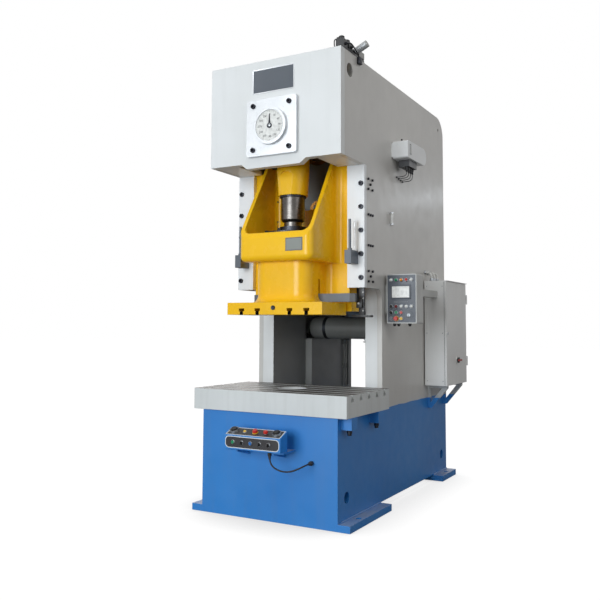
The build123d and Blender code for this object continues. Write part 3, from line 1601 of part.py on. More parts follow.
export_step(control_box.part, "parts/control_box.step")

# Control box pieces that turn: selectors and the key switch
knob_out = 10
grip_out = 12
grip_size = (6, 22)
key_grip = (2.5, 18)
for piece_name in ("mode_selector", "motor_selector", "jog_selector", "key_switch"):
    piece_x, piece_z = control_places[piece_name]
    grip = key_grip if piece_name == "key_switch" else grip_size
    with BuildPart() as turn_piece:
        with BuildSketch(Plane.XZ.offset(-box_face + knob_out)):
            with Locations((piece_x, piece_z)):
                Circle(stem_r)
        extrude(amount=-(knob_out + panel_wall + stem_tail))
        with BuildSketch(Plane.XZ.offset(-box_face + knob_out)):
            with Locations((piece_x, piece_z)):
                Rectangle(*grip)
        extrude(amount=grip_out)
    turn_piece.part.label = piece_name
    export_step(turn_piece.part, f"parts/{piece_name}.step")

# Control box pieces that push
push_out = 8
for piece_name in ("start_button", "stop_button", "reset_button", "lamp_button"):
    piece_x, piece_z = control_places[piece_name]
    with BuildPart() as push_piece:
        with BuildSketch(Plane.XZ.offset(-box_face + push_out)):
            with Locations((piece_x, piece_z)):
                Circle(stem_r)
        extrude(amount=-(push_out + panel_wall + stem_tail))
    push_piece.part.label = piece_name
    export_step(push_piece.part, f"parts/{piece_name}.step")

# Emergency stop on the control box
mushroom_r = 18
mushroom_gap = 8
mushroom_t = 12
mushroom_taper = 12
with BuildPart() as box_stop:
    stop_place = control_places["box_stop"]
    with BuildSketch(Plane.XZ.offset(-box_face + mushroom_gap)):
        with Locations(stop_place):
            Circle(stem_r)
    extrude(amount=-(mushroom_gap + panel_wall + stem_tail))
    with BuildSketch(Plane.XZ.offset(-box_face + mushroom_gap)):
        with Locations(stop_place):
            Circle(mushroom_r)
    extrude(amount=mushroom_t, taper=mushroom_taper)
box_stop.part.label = "box_stop"
export_step(box_stop.part, "parts/box_stop.step")

# Two-hand console: hollow box with a sloping top, on the base arms
console_half = 225
console_front_top = 603
console_back_top = 645
console_wall = 4
top_pitch = 85
front_pitch = 71
front_middle = -10
front_z = 556
slope = atan2(console_back_top - console_front_top, console_back - console_front)
top_plane = Plane(
    origin=(0, (console_front + console_back) / 2, (console_front_top + console_back_top) / 2),
    x_dir=(1, 0, 0),
    z_dir=(0, -sin(slope), cos(slope)),
)
front_plane = Plane(origin=(front_middle, console_front, front_z), x_dir=(1, 0, 0), z_dir=(0, -1, 0))
palm_r = 24
palm_stem = 14
console_tops = {
    "left_palm": (-2, palm_stem),
    "yellow_button": (-1, stem_r),
    "console_stop": (0, stem_r),
    "red_mushroom": (1, stem_r),
    "right_palm": (2, palm_stem),
}
console_fronts = {
    "green_button": -2,
    "first_selector": -1,
    "blue_button": 0,
    "second_selector": 1,
    "third_selector": 2,
}
with BuildPart() as console_box:
    with BuildSketch(Plane.YZ.offset(-console_half)):
        with BuildLine():
            Polyline(
                (console_front, console_bottom),
                (console_front, console_front_top),
                (console_back, console_back_top),
                (console_back, console_bottom),
                close=True,
            )
        make_face()
    extrude(amount=2 * console_half)
    with BuildSketch(Plane.YZ.offset(-console_half + console_wall)):
        with BuildLine():
            wall_drop = console_wall / cos(slope)
            rise = tan(slope) * console_wall
            Polyline(
                (console_front + console_wall, console_bottom + console_wall),
                (console_front + console_wall, console_front_top - wall_drop + rise),
                (console_back - console_wall, console_back_top - wall_drop - rise),
                (console_back - console_wall, console_bottom + console_wall),
                close=True,
            )
        make_face()
    extrude(amount=2 * console_half - 2 * console_wall, mode=Mode.SUBTRACT)
    with BuildSketch(top_plane):
        for step, hole_r in console_tops.values():
            with Locations((step * top_pitch, 0)):
                Circle(hole_r + run_fit)
    extrude(amount=-2 * console_wall, mode=Mode.SUBTRACT)
    with BuildSketch(front_plane):
        for step in console_fronts.values():
            with Locations((step * front_pitch, 0)):
                Circle(stem_r + run_fit)
    extrude(amount=-2 * console_wall, mode=Mode.SUBTRACT)
console_box.part.label = "console_box"
export_step(console_box.part, "parts/console_box.step")

# Console top pieces: palm buttons, push button, emergency stop and mushroom
head_taper = 14
console_heads = {
    "left_palm": (palm_r, mushroom_gap, 16),
    "yellow_button": (stem_r, 0, push_out),
    "console_stop": (19, mushroom_gap, 13),
    "red_mushroom": (17, mushroom_gap, mushroom_t),
    "right_palm": (palm_r, mushroom_gap, 16),
}
for piece_name, (head_r, head_gap, head_t) in console_heads.items():
    step, hole_r = console_tops[piece_name]
    with BuildPart() as top_piece:
        with BuildSketch(top_plane.offset(head_gap)):
            with Locations((step * top_pitch, 0)):
                Circle(hole_r)
        extrude(amount=-(head_gap + console_wall + stem_tail))
        with BuildSketch(top_plane.offset(head_gap)):
            with Locations((step * top_pitch, 0)):
                Circle(head_r)
        extrude(amount=head_t, taper=head_taper)
    top_piece.part.label = piece_name
    export_step(top_piece.part, f"parts/{piece_name}.step")

# Console front pieces: push buttons and selectors
for piece_name, step in console_fronts.items():
    with BuildPart() as front_piece:
        with BuildSketch(front_plane.offset(push_out)):
            with Locations((step * front_pitch, 0)):
                Circle(stem_r)
        extrude(amount=-(push_out + console_wall + stem_tail))
        if "selector" in piece_name:
            with BuildSketch(front_plane.offset(push_out)):
                with Locations((step * front_pitch, 0)):
                    Rectangle(*grip_size)
            extrude(amount=grip_out)
    front_piece.part.label = piece_name
    export_step(front_piece.part, f"parts/{piece_name}.step")

# Cable glands: one under the console, one in the base front plate
gland_r = 16
gland_length = 26
cable_r = 5.5
gland_x = 115
gland_y = (console_front + console_back) / 2
port_x = 357
port_z = 429
cable_start = (gland_x, gland_y, console_bottom - gland_length)
cable_end = (port_x, base_front - gland_length, port_z)
with BuildPart() as cable_glands:
    with BuildSketch(Plane.XY.offset(cable_start[2])):
        with Locations(cable_start[:2]):
            RegularPolygon(gland_r, 6)
    extrude(amount=gland_length)
    with BuildSketch(Plane.XZ.offset(-base_front)):
        with Locations((cable_end[0], cable_end[2])):
            RegularPolygon(gland_r, 6)
    extrude(amount=gland_length)
cable_glands.part.label = "cable_glands"
export_step(cable_glands.part, "parts/cable_glands.step")

# Console cable: straight runs joined by round bends
cable_points = [
    cable_start,
    (gland_x, gland_y, 436),
    (148, -1324, 398),
    (205, -1318, 380),
    (268, -1316, 384),
    (325, -1308, 408),
    (port_x, -1256, port_z),
    cable_end,
]
cable_radii = []
for i in range(1, len(cable_points) - 1):
    before = Vector(*cable_points[i]) - Vector(*cable_points[i - 1])
    after = Vector(*cable_points[i + 1]) - Vector(*cable_points[i])
    half_turn = radians(before.get_angle(after)) / 2
    cable_radii.append(0.45 * min(before.length, after.length) / tan(half_turn))
print("cable radii", [round(r, 1) for r in cable_radii])
with BuildPart() as console_cable:
    with BuildLine() as cable_line:
        FilletPolyline(*cable_points, radius=cable_radii)
    with BuildSketch(Plane(origin=cable_start, z_dir=(0, 0, -1))):
        Circle(cable_r)
    sweep()
cable_length = sum(edge.length for edge in cable_line.edges())
print("cable length", round(cable_length, 1))
print("cable volume ratio", round(console_cable.part.volume / (pi * cable_r**2 * cable_length), 4))
console_cable.part.label = "console_cable"
export_step(console_cable.part, "parts/console_cable.step")
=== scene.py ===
import bpy
import bmesh
from math import atan2, cos, pi, radians, sin
from mathutils import Euler, Matrix, Vector


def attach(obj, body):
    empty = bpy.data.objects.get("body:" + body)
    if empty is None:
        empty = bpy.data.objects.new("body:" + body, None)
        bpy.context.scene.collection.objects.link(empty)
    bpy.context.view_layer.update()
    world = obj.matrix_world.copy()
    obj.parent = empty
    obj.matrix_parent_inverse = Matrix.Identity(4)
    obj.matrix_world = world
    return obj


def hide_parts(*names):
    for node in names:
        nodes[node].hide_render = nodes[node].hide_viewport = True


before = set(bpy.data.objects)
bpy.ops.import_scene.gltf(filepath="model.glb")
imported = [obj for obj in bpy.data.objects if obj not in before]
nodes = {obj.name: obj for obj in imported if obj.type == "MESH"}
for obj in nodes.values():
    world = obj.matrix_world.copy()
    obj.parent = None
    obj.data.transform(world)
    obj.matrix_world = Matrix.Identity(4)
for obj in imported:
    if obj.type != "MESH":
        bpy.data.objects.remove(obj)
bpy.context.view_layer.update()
print("frame loaded")

# Camera at the photo's angle
camLook = {"place": (2.7524, -5.7001, 1.3593), "turn": (94.563, -0.3115, 29.6256), "lens": 44.66,
           "shift": (0.0170, -0.0575)}
camData = bpy.data.cameras.new("photoCamera")
camData.lens = camLook["lens"]
camData.sensor_width = 36
camData.shift_x, camData.shift_y = camLook["shift"]
camData.clip_end = 100
camera = bpy.data.objects.new("photoCamera", camData)
camera.location = camLook["place"]
camera.rotation_euler = Euler([radians(a) for a in camLook["turn"]])
bpy.context.scene.collection.objects.link(camera)
bpy.context.scene.camera = camera
bpy.context.scene.view_settings.view_transform = "Standard"
print("camera placed")


# Small node helpers for the materials
def srgb(r, g, b):
    def one(c):
        c /= 255
        return c / 12.92 if c <= 0.04045 else ((c + 0.055) / 1.055) ** 2.4
    return (one(r), one(g), one(b), 1.0)


def newMat(name):
    mat = bpy.data.materials.new(name)
    mat.use_nodes = True
    tree = mat.node_tree
    tree.nodes.clear()
    out = tree.nodes.new("ShaderNodeOutputMaterial")
    shader = tree.nodes.new("ShaderNodeBsdfPrincipled")
    tree.links.new(shader.outputs[0], out.inputs[0])
    coord = tree.nodes.new("ShaderNodeTexCoord")
    return mat, tree, shader, coord.outputs["Object"]


def feed(tree, socket, value):
    if hasattr(value, "is_output"):
        tree.links.new(value, socket)
    else:
        socket.default_value = value


def calc(tree, op, a, b=None, c=None):
    node = tree.nodes.new("ShaderNodeMath")
    node.operation = op
    for i, v in enumerate((a, b, c)):
        if v is not None:
            feed(tree, node.inputs[i], v)
    return node.outputs[0]


def noise(tree, coord, scale, detail=3.0, rough=0.55, stretch=None):
    if stretch:
        mapping = tree.nodes.new("ShaderNodeMapping")
        mapping.inputs["Scale"].default_value = stretch
        tree.links.new(coord, mapping.inputs["Vector"])
        coord = mapping.outputs[0]
    node = tree.nodes.new("ShaderNodeTexNoise")
    node.inputs["Scale"].default_value = scale
    node.inputs["Detail"].default_value = detail
    node.inputs["Roughness"].default_value = rough
    tree.links.new(coord, node.inputs["Vector"])
    return node.outputs["Fac"]


def spread(tree, fac, low, high, outLow, outHigh):
    node = tree.nodes.new("ShaderNodeMapRange")
    feed(tree, node.inputs[0], fac)
    for i, v in enumerate((low, high, outLow, outHigh)):
        node.inputs[i + 1].default_value = v
    return node.outputs[0]


def patches(tree, coord, scale, detail, low, high, outLow, outHigh):
    # soft clouds that go from one value to another
    return spread(tree, noise(tree, coord, scale, detail), low, high, outLow, outHigh)


def blendColor(tree, fac, a, b):
    node = tree.nodes.new("ShaderNodeMix")
    node.data_type = "RGBA"
    feed(tree, node.inputs[0], fac)
    feed(tree, node.inputs[6], a)
    feed(tree, node.inputs[7], b)
    return node.outputs[2]


def splitXyz(tree, coord):
    node = tree.nodes.new("ShaderNodeSeparateXYZ")
    tree.links.new(coord, node.inputs[0])
    return node.outputs


def bump(tree, height, distance, strength=1.0, base=None):
    node = tree.nodes.new("ShaderNodeBump")
    node.inputs["Strength"].default_value = strength
    node.inputs["Distance"].default_value = distance
    tree.links.new(height, node.inputs["Height"])
    if base is not None:
        tree.links.new(base, node.inputs["Normal"])
    return node.outputs[0]


def edgeRound(tree, radius):
    node = tree.nodes.new("ShaderNodeBevel")
    node.samples = 4
    node.inputs["Radius"].default_value = radius
    return node.outputs[0]


def boxMask(tree, u, v, middle, half, corner):
    # 1 inside a rectangle with round corners, 0 outside
    squares = []
    for value, centre, reach in zip((u, v), middle, half):
        off = calc(tree, "ABSOLUTE", calc(tree, "SUBTRACT", value, centre))
        past = calc(tree, "MAXIMUM", calc(tree, "SUBTRACT", off, reach - corner), 0.0)
        squares.append(calc(tree, "MULTIPLY", past, past))
    return calc(tree, "LESS_THAN", calc(tree, "SQRT", calc(tree, "ADD", *squares)), corner)


# Paints: two close tones, orange peel, dust that gathers on top faces, rubbed and softened edges
def paint(name, color, second, rough=0.42, peel=0.00035, edge=0.004, dust=0.12, wear=0.35, wave=0.0,
          topDust=0.35, coat=0.12):
    mat, tree, shader, coord = newMat(name)
    clouds = noise(tree, coord, 1.3, 4.0)
    speck = noise(tree, coord, 38.0, 2.0)
    streak = noise(tree, coord, 5.0, 3.0, stretch=(3.0, 3.0, 0.25))
    body = blendColor(tree, spread(tree, clouds, 0.35, 0.68, 0.0, 1.0), color, second)
    dusty = blendColor(tree, spread(tree, streak, 0.48, 0.8, 0.0, dust), body, srgb(120, 112, 100))
    geo = tree.nodes.new("ShaderNodeNewGeometry")
    facing = splitXyz(tree, geo.outputs["Normal"])[2]
    settled = calc(tree, "MULTIPLY", spread(tree, facing, 0.75, 0.98, 0.0, 1.0),
                   patches(tree, coord, 3.2, 5.0, 0.3, 0.62, 0.15 * topDust, topDust))
    dusty = blendColor(tree, settled, dusty, srgb(168, 164, 156))
    soft = edgeRound(tree, edge)
    turned = tree.nodes.new("ShaderNodeVectorMath")
    turned.operation = "DOT_PRODUCT"
    tree.links.new(soft, turned.inputs[0])
    tree.links.new(geo.outputs["Normal"], turned.inputs[1])
    rim = spread(tree, turned.outputs["Value"], 0.93, 0.80, 0.0, 1.0)
    rub = calc(tree, "MULTIPLY", rim, spread(tree, speck, 0.5, 0.66, 0.0, wear))
    worn = blendColor(tree, rub, dusty, srgb(214, 214, 210))
    tree.links.new(worn, shader.inputs["Base Color"])
    feed(tree, shader.inputs["Roughness"],
         patches(tree, coord, 9.0, 4.0, 0.3, 0.7, rough - 0.06, rough + 0.09))
    fine = noise(tree, coord, 260.0, 2.0)
    relief = bump(tree, fine, peel, 0.35, soft)
    if wave:
        relief = bump(tree, noise(tree, coord, 14.0, 3.0), wave, 0.5, relief)
    tree.links.new(relief, shader.inputs["Normal"])
    shader.inputs["Coat Weight"].default_value = coat
    shader.inputs["Coat Roughness"].default_value = 0.2
    return mat, tree, shader, coord, worn


def metal(name, color, second, rough=0.32, grain=(1.0, 1.0, 1.0), grainScale=180.0, edge=0.002, stain=0.25,
          deep=0.0002):
    mat, tree, shader, coord = newMat(name)
    clouds = noise(tree, coord, 6.0, 5.0)
    lines = noise(tree, coord, grainScale, 2.0, stretch=grain)
    body = blendColor(tree, spread(tree, clouds, 0.35, 0.7, 0.0, 1.0), color, second)
    oily = blendColor(tree, patches(tree, coord, 2.2, 4.0, 0.55, 0.8, 0.0, stain), body, srgb(70, 60, 48))
    tree.links.new(oily, shader.inputs["Base Color"])
    shader.inputs["Metallic"].default_value = 1.0
    feed(tree, shader.inputs["Roughness"], spread(tree, lines, 0.3, 0.7, rough - 0.08, rough + 0.14))
    tree.links.new(bump(tree, lines, deep, 0.5, edgeRound(tree, edge)), shader.inputs["Normal"])
    return mat, tree, shader, coord, oily


def plastic(name, color, rough=0.35, glow=0.0, edge=0.0012, shade=0.75):
    mat, tree, shader, coord = newMat(name)
    dark = tuple(c * shade for c in color[:3]) + (1.0,)
    body = blendColor(tree, patches(tree, coord, 45.0, 3.0, 0.35, 0.7, 0.0, 1.0), color, dark)
    tree.links.new(body, shader.inputs["Base Color"])
    feed(tree, shader.inputs["Roughness"],
         patches(tree, coord, 120.0, 2.0, 0.3, 0.7, rough - 0.05, rough + 0.1))
    tree.links.new(bump(tree, noise(tree, coord, 900.0, 1.0), 0.00008, 0.5, edgeRound(tree, edge)),
                   shader.inputs["Normal"])
    if glow:
        tree.links.new(body, shader.inputs["Emission Color"])
        shader.inputs["Emission Strength"].default_value = glow
    return mat, tree, shader, coord, body


def recolor(made, mask, color, under=None):
    # lays a colour over a made material where the mask is 1
    over = blendColor(made[1], mask, under or made[4], color)
    made[1].links.new(over, made[2].inputs["Base Color"])
    return over


tones = {
    "grey": srgb(226, 228, 228), "greyTwo": srgb(218, 220, 219),
    # side grey: the frame grey darkened and warmed as painted shade for the side plates
    "sideShadedGrey": srgb(206, 204, 199), "sideShadedGreyTwo": srgb(196, 194, 190),
    "blue": srgb(44, 128, 202), "blueTwo": srgb(38, 119, 193),
    "yellow": srgb(250, 197, 24), "yellowTwo": srgb(244, 188, 18),
}
greyPaint = paint("greyPaint", tones["grey"], tones["greyTwo"], dust=0.05)
bluePaint = paint("bluePaint", tones["blue"], tones["blueTwo"], rough=0.4, dust=0.08, topDust=0.6)
yellowPaint = paint("yellowPaint", tones["yellow"], tones["yellowTwo"], rough=0.26, peel=0.0006, edge=0.006,
                    dust=0.04, wear=0.15, wave=0.0012, topDust=0.05, coat=0.1)
yellowPaint[2].inputs["Specular IOR Level"].default_value = 0.3
cabinetPaint = paint("cabinetPaint", srgb(236, 236, 234), srgb(228, 228, 226), rough=0.5, peel=0.0003,
                     edge=0.002, dust=0.06, wear=0.1)
devicePaint = paint("devicePaint", srgb(236, 238, 238), srgb(228, 230, 230), rough=0.4, edge=0.003, dust=0.05,
                    wear=0.1, topDust=0.1)
slatePaint = paint("slatePaint", srgb(84, 90, 98), srgb(76, 82, 90), rough=0.45, edge=0.001, dust=0.04,
                   wear=0.1)
platePaint = paint("platePaint", srgb(134, 138, 132), srgb(120, 124, 119), rough=0.45, edge=0.001, dust=0.05,
                   wear=0.1)
blackPaint = paint("blackPaint", srgb(38, 38, 40), srgb(30, 31, 33), rough=0.42, edge=0.002, dust=0.08,
                   wear=0.25)
stopPaint = paint("stopPaint", srgb(96, 104, 114), srgb(84, 91, 100), rough=0.4, edge=0.003, dust=0.1,
                  wear=0.3)
gibSteel = paint("gibSteel", srgb(236, 238, 240), srgb(228, 231, 233), rough=0.34, peel=0.0002, edge=0.003,
                 dust=0.05, wear=0.1)
# Bearing walls and air receiver: a mid grey darker than the frame paint, as painted shade inside the head and
# throat, with dust
shadedWallPaint = paint("shadedWallPaint", srgb(126, 127, 124), srgb(108, 109, 106), rough=0.5, edge=0.003, dust=0.25,
                  wear=0.1)
groundSteel = metal("groundSteel", srgb(176, 180, 184), srgb(150, 154, 158), rough=0.3, stain=0.15)
turnedSteel = metal("turnedSteel", srgb(112, 108, 104), srgb(84, 80, 78), rough=0.3, grain=(0.2, 0.2, 6.0),
                    grainScale=60.0, stain=0.5)
darkSteel = metal("darkSteel", srgb(66, 67, 72), srgb(46, 47, 52), rough=0.38, stain=0.2)
coverSteel = metal("coverSteel", srgb(214, 216, 218), srgb(198, 201, 204), rough=0.34, stain=0.08)
bronze = metal("bronze", srgb(170, 120, 62), srgb(140, 94, 46), rough=0.36, stain=0.4)
gearIron = metal("gearIron", srgb(92, 90, 88), srgb(70, 68, 66), rough=0.48, stain=0.6)
zincSheet = metal("zincSheet", srgb(182, 186, 190), srgb(174, 178, 183), rough=0.46, grainScale=30.0,
                  stain=0.04)
motorPaint = paint("motorPaint", srgb(70, 92, 110), srgb(60, 82, 100), rough=0.45, dust=0.25)
rubber = plastic("rubber", srgb(30, 30, 32), rough=0.55)
blackPlastic = plastic("blackPlastic", srgb(32, 32, 34), rough=0.36)
greyPlastic = plastic("greyPlastic", srgb(120, 124, 130), rough=0.45)
redPlastic = plastic("redPlastic", srgb(206, 44, 34), rough=0.28)
greenPlastic = plastic("greenPlastic", srgb(22, 140, 92), rough=0.28)
bluePlastic = plastic("bluePlastic", srgb(44, 116, 196), rough=0.28)
yellowPlastic = plastic("yellowPlastic", srgb(238, 190, 44), rough=0.3)
whitePlastic = plastic("whitePlastic", srgb(236, 236, 232), rough=0.3)
orangePlastic = plastic("orangePlastic", srgb(240, 150, 40), rough=0.25)
redLamp = plastic("redLamp", srgb(122, 40, 44), rough=0.2)
print("base materials made")

# Side plates: grey above the paint line, blue below it; the grey is darkened as painted shade on the sides
paintLine = {"height": 0.735, "ripple": 0.004}
sidePaint = paint("sidePaint", tones["sideShadedGrey"], tones["sideShadedGreyTwo"], rough=0.36, dust=0.03, coat=0.25)
sideTree, sideCoord = sidePaint[1], sidePaint[3]
sideXyz = splitXyz(sideTree, sideCoord)
ripple = patches(sideTree, sideCoord, 7.0, 2.0, 0.3, 0.7, -paintLine["ripple"], paintLine["ripple"])
belowLine = calc(sideTree, "LESS_THAN", calc(sideTree, "ADD", sideXyz[2], ripple), paintLine["height"])
sideBlue = blendColor(sideTree, patches(sideTree, sideCoord, 1.3, 4.0, 0.35, 0.68, 0.0, 1.0), tones["blue"],
                      tones["blueTwo"])
recolor(sidePaint, belowLine, sideBlue)

# Column boxes: the inside faces are painted a darker grey, as painted shade inside the throat
columnLook = {"inside": 0.4125, "tone": srgb(168, 169, 166), "second": srgb(146, 147, 145)}
columnPaint = paint("columnPaint", tones["grey"], tones["greyTwo"])
columnTree, columnCoord = columnPaint[1], columnPaint[3]
columnXyz = splitXyz(columnTree, columnCoord)
columnInside = calc(columnTree, "LESS_THAN", calc(columnTree, "ABSOLUTE", columnXyz[0]), columnLook["inside"])
insideShadeGrey = blendColor(columnTree, noise(columnTree, columnCoord, 2.0, 4.0), columnLook["tone"],
                       columnLook["second"])
recolor(columnPaint, columnInside, insideShadeGrey)

# Slide: yellow like the rod, with its T-slots painted near black inside: oil, and painted shade in the
# recesses
slideSlots = {"xs": (-0.271, -0.135, 0.135, 0.271), "half": 0.0152, "top": 1.4795, "tone": srgb(34, 30, 24)}
slidePaint = paint("slidePaint", tones["yellow"], tones["yellowTwo"], rough=0.24, peel=0.0006, edge=0.006,
                   dust=0.03, wear=0.12, wave=0.0012, topDust=0.05, coat=0.1)
slidePaint[2].inputs["Specular IOR Level"].default_value = 0.3
slideTree = slidePaint[1]
slideXyz = splitXyz(slideTree, slidePaint[3])
slideGeo = slideTree.nodes.new("ShaderNodeNewGeometry")
slideFacing = splitXyz(slideTree, slideGeo.outputs["True Normal"])
slotShadeMask = None
for x in slideSlots["xs"]:
    near = calc(slideTree, "COMPARE", slideXyz[0], x, slideSlots["half"])
    slotShadeMask = near if slotShadeMask is None else calc(slideTree, "MAXIMUM", slotShadeMask, near)
slotShadeMask = calc(slideTree, "MULTIPLY", slotShadeMask, calc(slideTree, "LESS_THAN", slideXyz[2], slideSlots["top"]))
slotShadeMask = calc(slideTree, "MULTIPLY", slotShadeMask,
              calc(slideTree, "LESS_THAN", calc(slideTree, "ABSOLUTE", slideFacing[1]), 0.5))
recolor(slidePaint, slotShadeMask, slideSlots["tone"])

# Bolster: painted sides and a milled top with an oily sheen
bolsterLook = {"top": 0.8893, "metal": 0.7, "steel": srgb(112, 105, 98), "second": srgb(84, 78, 73),
               "oil": srgb(62, 54, 47)}
bolsterPaint = paint("bolsterPaint", srgb(212, 215, 214), srgb(202, 205, 204), rough=0.45, edge=0.004,
                     dust=0.15, topDust=0.0)
bolsterTree, bolsterCoord = bolsterPaint[1], bolsterPaint[3]
bolsterXyz = splitXyz(bolsterTree, bolsterCoord)
bolsterTop = calc(bolsterTree, "GREATER_THAN", bolsterXyz[2], bolsterLook["top"])
milled = noise(bolsterTree, bolsterCoord, 130.0, 2.0, stretch=(0.08, 1.0, 1.0))
topTone = blendColor(bolsterTree, spread(bolsterTree, milled, 0.3, 0.7, 0.0, 1.0), bolsterLook["steel"],
                     bolsterLook["second"])
blotch = blendColor(bolsterTree, patches(bolsterTree, bolsterCoord, 3.5, 5.0, 0.46, 0.68, 0.0, 0.8), topTone,
                    bolsterLook["oil"])
recolor(bolsterPaint, bolsterTop, blotch)
feed(bolsterTree, bolsterPaint[2].inputs["Metallic"],
     calc(bolsterTree, "MULTIPLY", bolsterTop, bolsterLook["metal"]))

# Parts of one node that have a tone of their own, past a plane square to one axis
valvePaint = paint("valvePaint", srgb(44, 45, 48), srgb(34, 35, 38), rough=0.4, edge=0.002, dust=0.1,
                   wear=0.3)
barPaint = paint("barPaint", srgb(92, 100, 110), srgb(80, 87, 96), rough=0.36, edge=0.003, dust=0.08,
                 wear=0.3, topDust=0.1)
gripPlastic = plastic("gripPlastic", srgb(40, 38, 38), rough=0.34)
bracketPaint = paint("bracketPaint", srgb(198, 199, 197), srgb(188, 189, 187), edge=0.002)
toneCuts = [
    (valvePaint, 0, "GREATER_THAN", 0.5475, srgb(158, 158, 154)),  # muffler of the air valve
    (barPaint, 0, "GREATER_THAN", 0.479, srgb(34, 34, 36)),  # black right end of the knockout bar
    (gripPlastic, 0, "GREATER_THAN", 0.7775, srgb(150, 40, 34)),  # dull red grip of the isolator
    (devicePaint, 2, "LESS_THAN", 2.6895, srgb(70, 71, 74)),  # pump block under the lubricator's tank
    (bracketPaint, 2, "LESS_THAN", paintLine["height"], tones["blue"]),  # brackets below the paint line
]
for made, axis, test, limit, tone in toneCuts:
    recolor(made, calc(made[1], test, splitXyz(made[1], made[3])[axis], limit), tone)

# Control box: pale body with a slate front panel inside a narrow rim
boxLook = {"front": -0.3645, "middle": (0.693, 1.5625), "half": (0.113, 0.1805), "corner": 0.006}
controlPaint = paint("controlPaint", srgb(186, 187, 184), srgb(176, 177, 174), rough=0.42, edge=0.0015,
                     dust=0.05, wear=0.1)
controlTree = controlPaint[1]
controlXyz = splitXyz(controlTree, controlPaint[3])
controlFront = calc(controlTree, "LESS_THAN", controlXyz[1], boxLook["front"])
controlArea = boxMask(controlTree, controlXyz[0], controlXyz[2], boxLook["middle"], boxLook["half"],
                      boxLook["corner"])
recolor(controlPaint, calc(controlTree, "MULTIPLY", controlFront, controlArea), srgb(70, 76, 86))

# Console: blue box with black panels edged in white, on its upright front and its sloped top
consoleLook = {"front": (-1.3742, 0.556, 0.216, 0.040),  # y, height, half width, half height
               "top": (-1.328, 0.624, 0.212, 0.043), "slope": (0.042, 0.094)}
consolePaint = paint("consolePaint", tones["blue"], tones["blueTwo"], rough=0.38, edge=0.002, dust=0.05,
                     wear=0.1, topDust=0.1)
consoleTree = consolePaint[1]
consoleXyz = splitXyz(consoleTree, consolePaint[3])
white = srgb(214, 218, 220)
black = srgb(44, 42, 44)
faceY, faceZ, frontWide, frontTall = consoleLook["front"]
frontFace = calc(consoleTree, "LESS_THAN", consoleXyz[1], faceY)
rimMask = boxMask(consoleTree, consoleXyz[0], consoleXyz[2], (0.0, faceZ), (frontWide, frontTall), 0.030)
inMask = boxMask(consoleTree, consoleXyz[0], consoleXyz[2], (0.0, faceZ),
                 (frontWide - 0.005, frontTall - 0.005), 0.026)
layer = recolor(consolePaint, calc(consoleTree, "MULTIPLY", frontFace, rimMask), white)
layer = recolor(consolePaint, calc(consoleTree, "MULTIPLY", frontFace, inMask), black, layer)
slope = atan2(*consoleLook["slope"])
topY, topZ, topWide, topTall = consoleLook["top"]
away = calc(consoleTree, "SUBTRACT", consoleXyz[1], topY)
rise = calc(consoleTree, "SUBTRACT", consoleXyz[2], topZ)
along = calc(consoleTree, "ADD", calc(consoleTree, "MULTIPLY", away, cos(slope)),
             calc(consoleTree, "MULTIPLY", rise, sin(slope)))
above = calc(consoleTree, "SUBTRACT", calc(consoleTree, "MULTIPLY", rise, cos(slope)),
             calc(consoleTree, "MULTIPLY", away, sin(slope)))
topFace = calc(consoleTree, "GREATER_THAN", above, -0.0006)
topRim = boxMask(consoleTree, consoleXyz[0], along, (0.0, 0.0), (topWide + 0.005, topTall + 0.004), 0.004)
topIn = boxMask(consoleTree, consoleXyz[0], along, (0.0, 0.0), (topWide - 0.001, topTall - 0.002), 0.003)
layer = recolor(consolePaint, calc(consoleTree, "MULTIPLY", topFace, topRim), white, layer)
recolor(consolePaint, calc(consoleTree, "MULTIPLY", topFace, topIn), black, layer)
print("two-tone materials made")

nodeLooks = {
    greyPaint: ("head_box",),
    shadedWallPaint: ("bearing_walls", "air_receiver"),
    sidePaint: ("side_plate_left", "side_plate_right"),
    bluePaint: ("base_weldment",),
    columnPaint: ("column_boxes",),
    zincSheet: ("rear_guard",),
    gibSteel: ("gib_plates",),
    bronze: ("gib_liners", "main_bearings"),
    darkSteel: ("gib_screws", "socket_bolts", "lock_ring", "dial_pointer", "ball_seat"),
    stopPaint: ("knockout_stops",),
    barPaint: ("knockout_bar",),
    bolsterPaint: ("bolster",),
    coverSteel: ("crank_cover",),
    cabinetPaint: ("cabinet_shell", "cabinet_door"),
    bracketPaint: ("cabinet_brackets",),
    greyPlastic: ("cabinet_panel", "reset_button"),
    devicePaint: ("lubricator",),
    valvePaint: ("clutch_valve",),
    controlPaint: ("control_box",),
    consolePaint: ("console_box",),
    rubber: ("console_cable", "drive_belts"),
    blackPlastic: ("cable_glands", "mode_selector", "jog_selector", "first_selector",
                   "second_selector", "third_selector", "left_palm", "right_palm"),
    gripPlastic: ("isolator_handle",),
    motorPaint: ("motor",),
    turnedSteel: ("crankshaft", "ball_screw"),
    gearIron: ("main_gear", "pinion_shaft", "flywheel", "motor_pulley"),
    yellowPaint: ("conrod",),
    slidePaint: ("slide",),
    groundSteel: ("key_switch",),
    redLamp: ("motor_selector",),
    greenPlastic: ("start_button", "green_button"),
    redPlastic: ("stop_button", "box_stop", "console_stop", "red_mushroom"),
    yellowPlastic: ("lamp_button", "yellow_button"),
    bluePlastic: ("blue_button",),
}
for made, names in nodeLooks.items():
    for name in names:
        mesh = nodes[name].data
        mesh.materials.clear()
        mesh.materials.append(made[0])
unpainted = [n for n, o in nodes.items() if not o.data.materials]
print("nodes painted, left over:", unpainted)


# Mesh helpers
def finishPiece(name, bm, made, body, smooth=35):
    bmesh.ops.recalc_face_normals(bm, faces=bm.faces)
    mesh = bpy.data.meshes.new(name)
    bm.to_mesh(mesh)
    bm.free()
    for one in made if isinstance(made, list) else [made]:
        mesh.materials.append(one[0])
    if smooth:
        mesh.shade_smooth()
        mesh.set_sharp_from_angle(angle=radians(smooth))
    obj = bpy.data.objects.new(name, mesh)
    bpy.context.scene.collection.objects.link(obj)
    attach(obj, body)


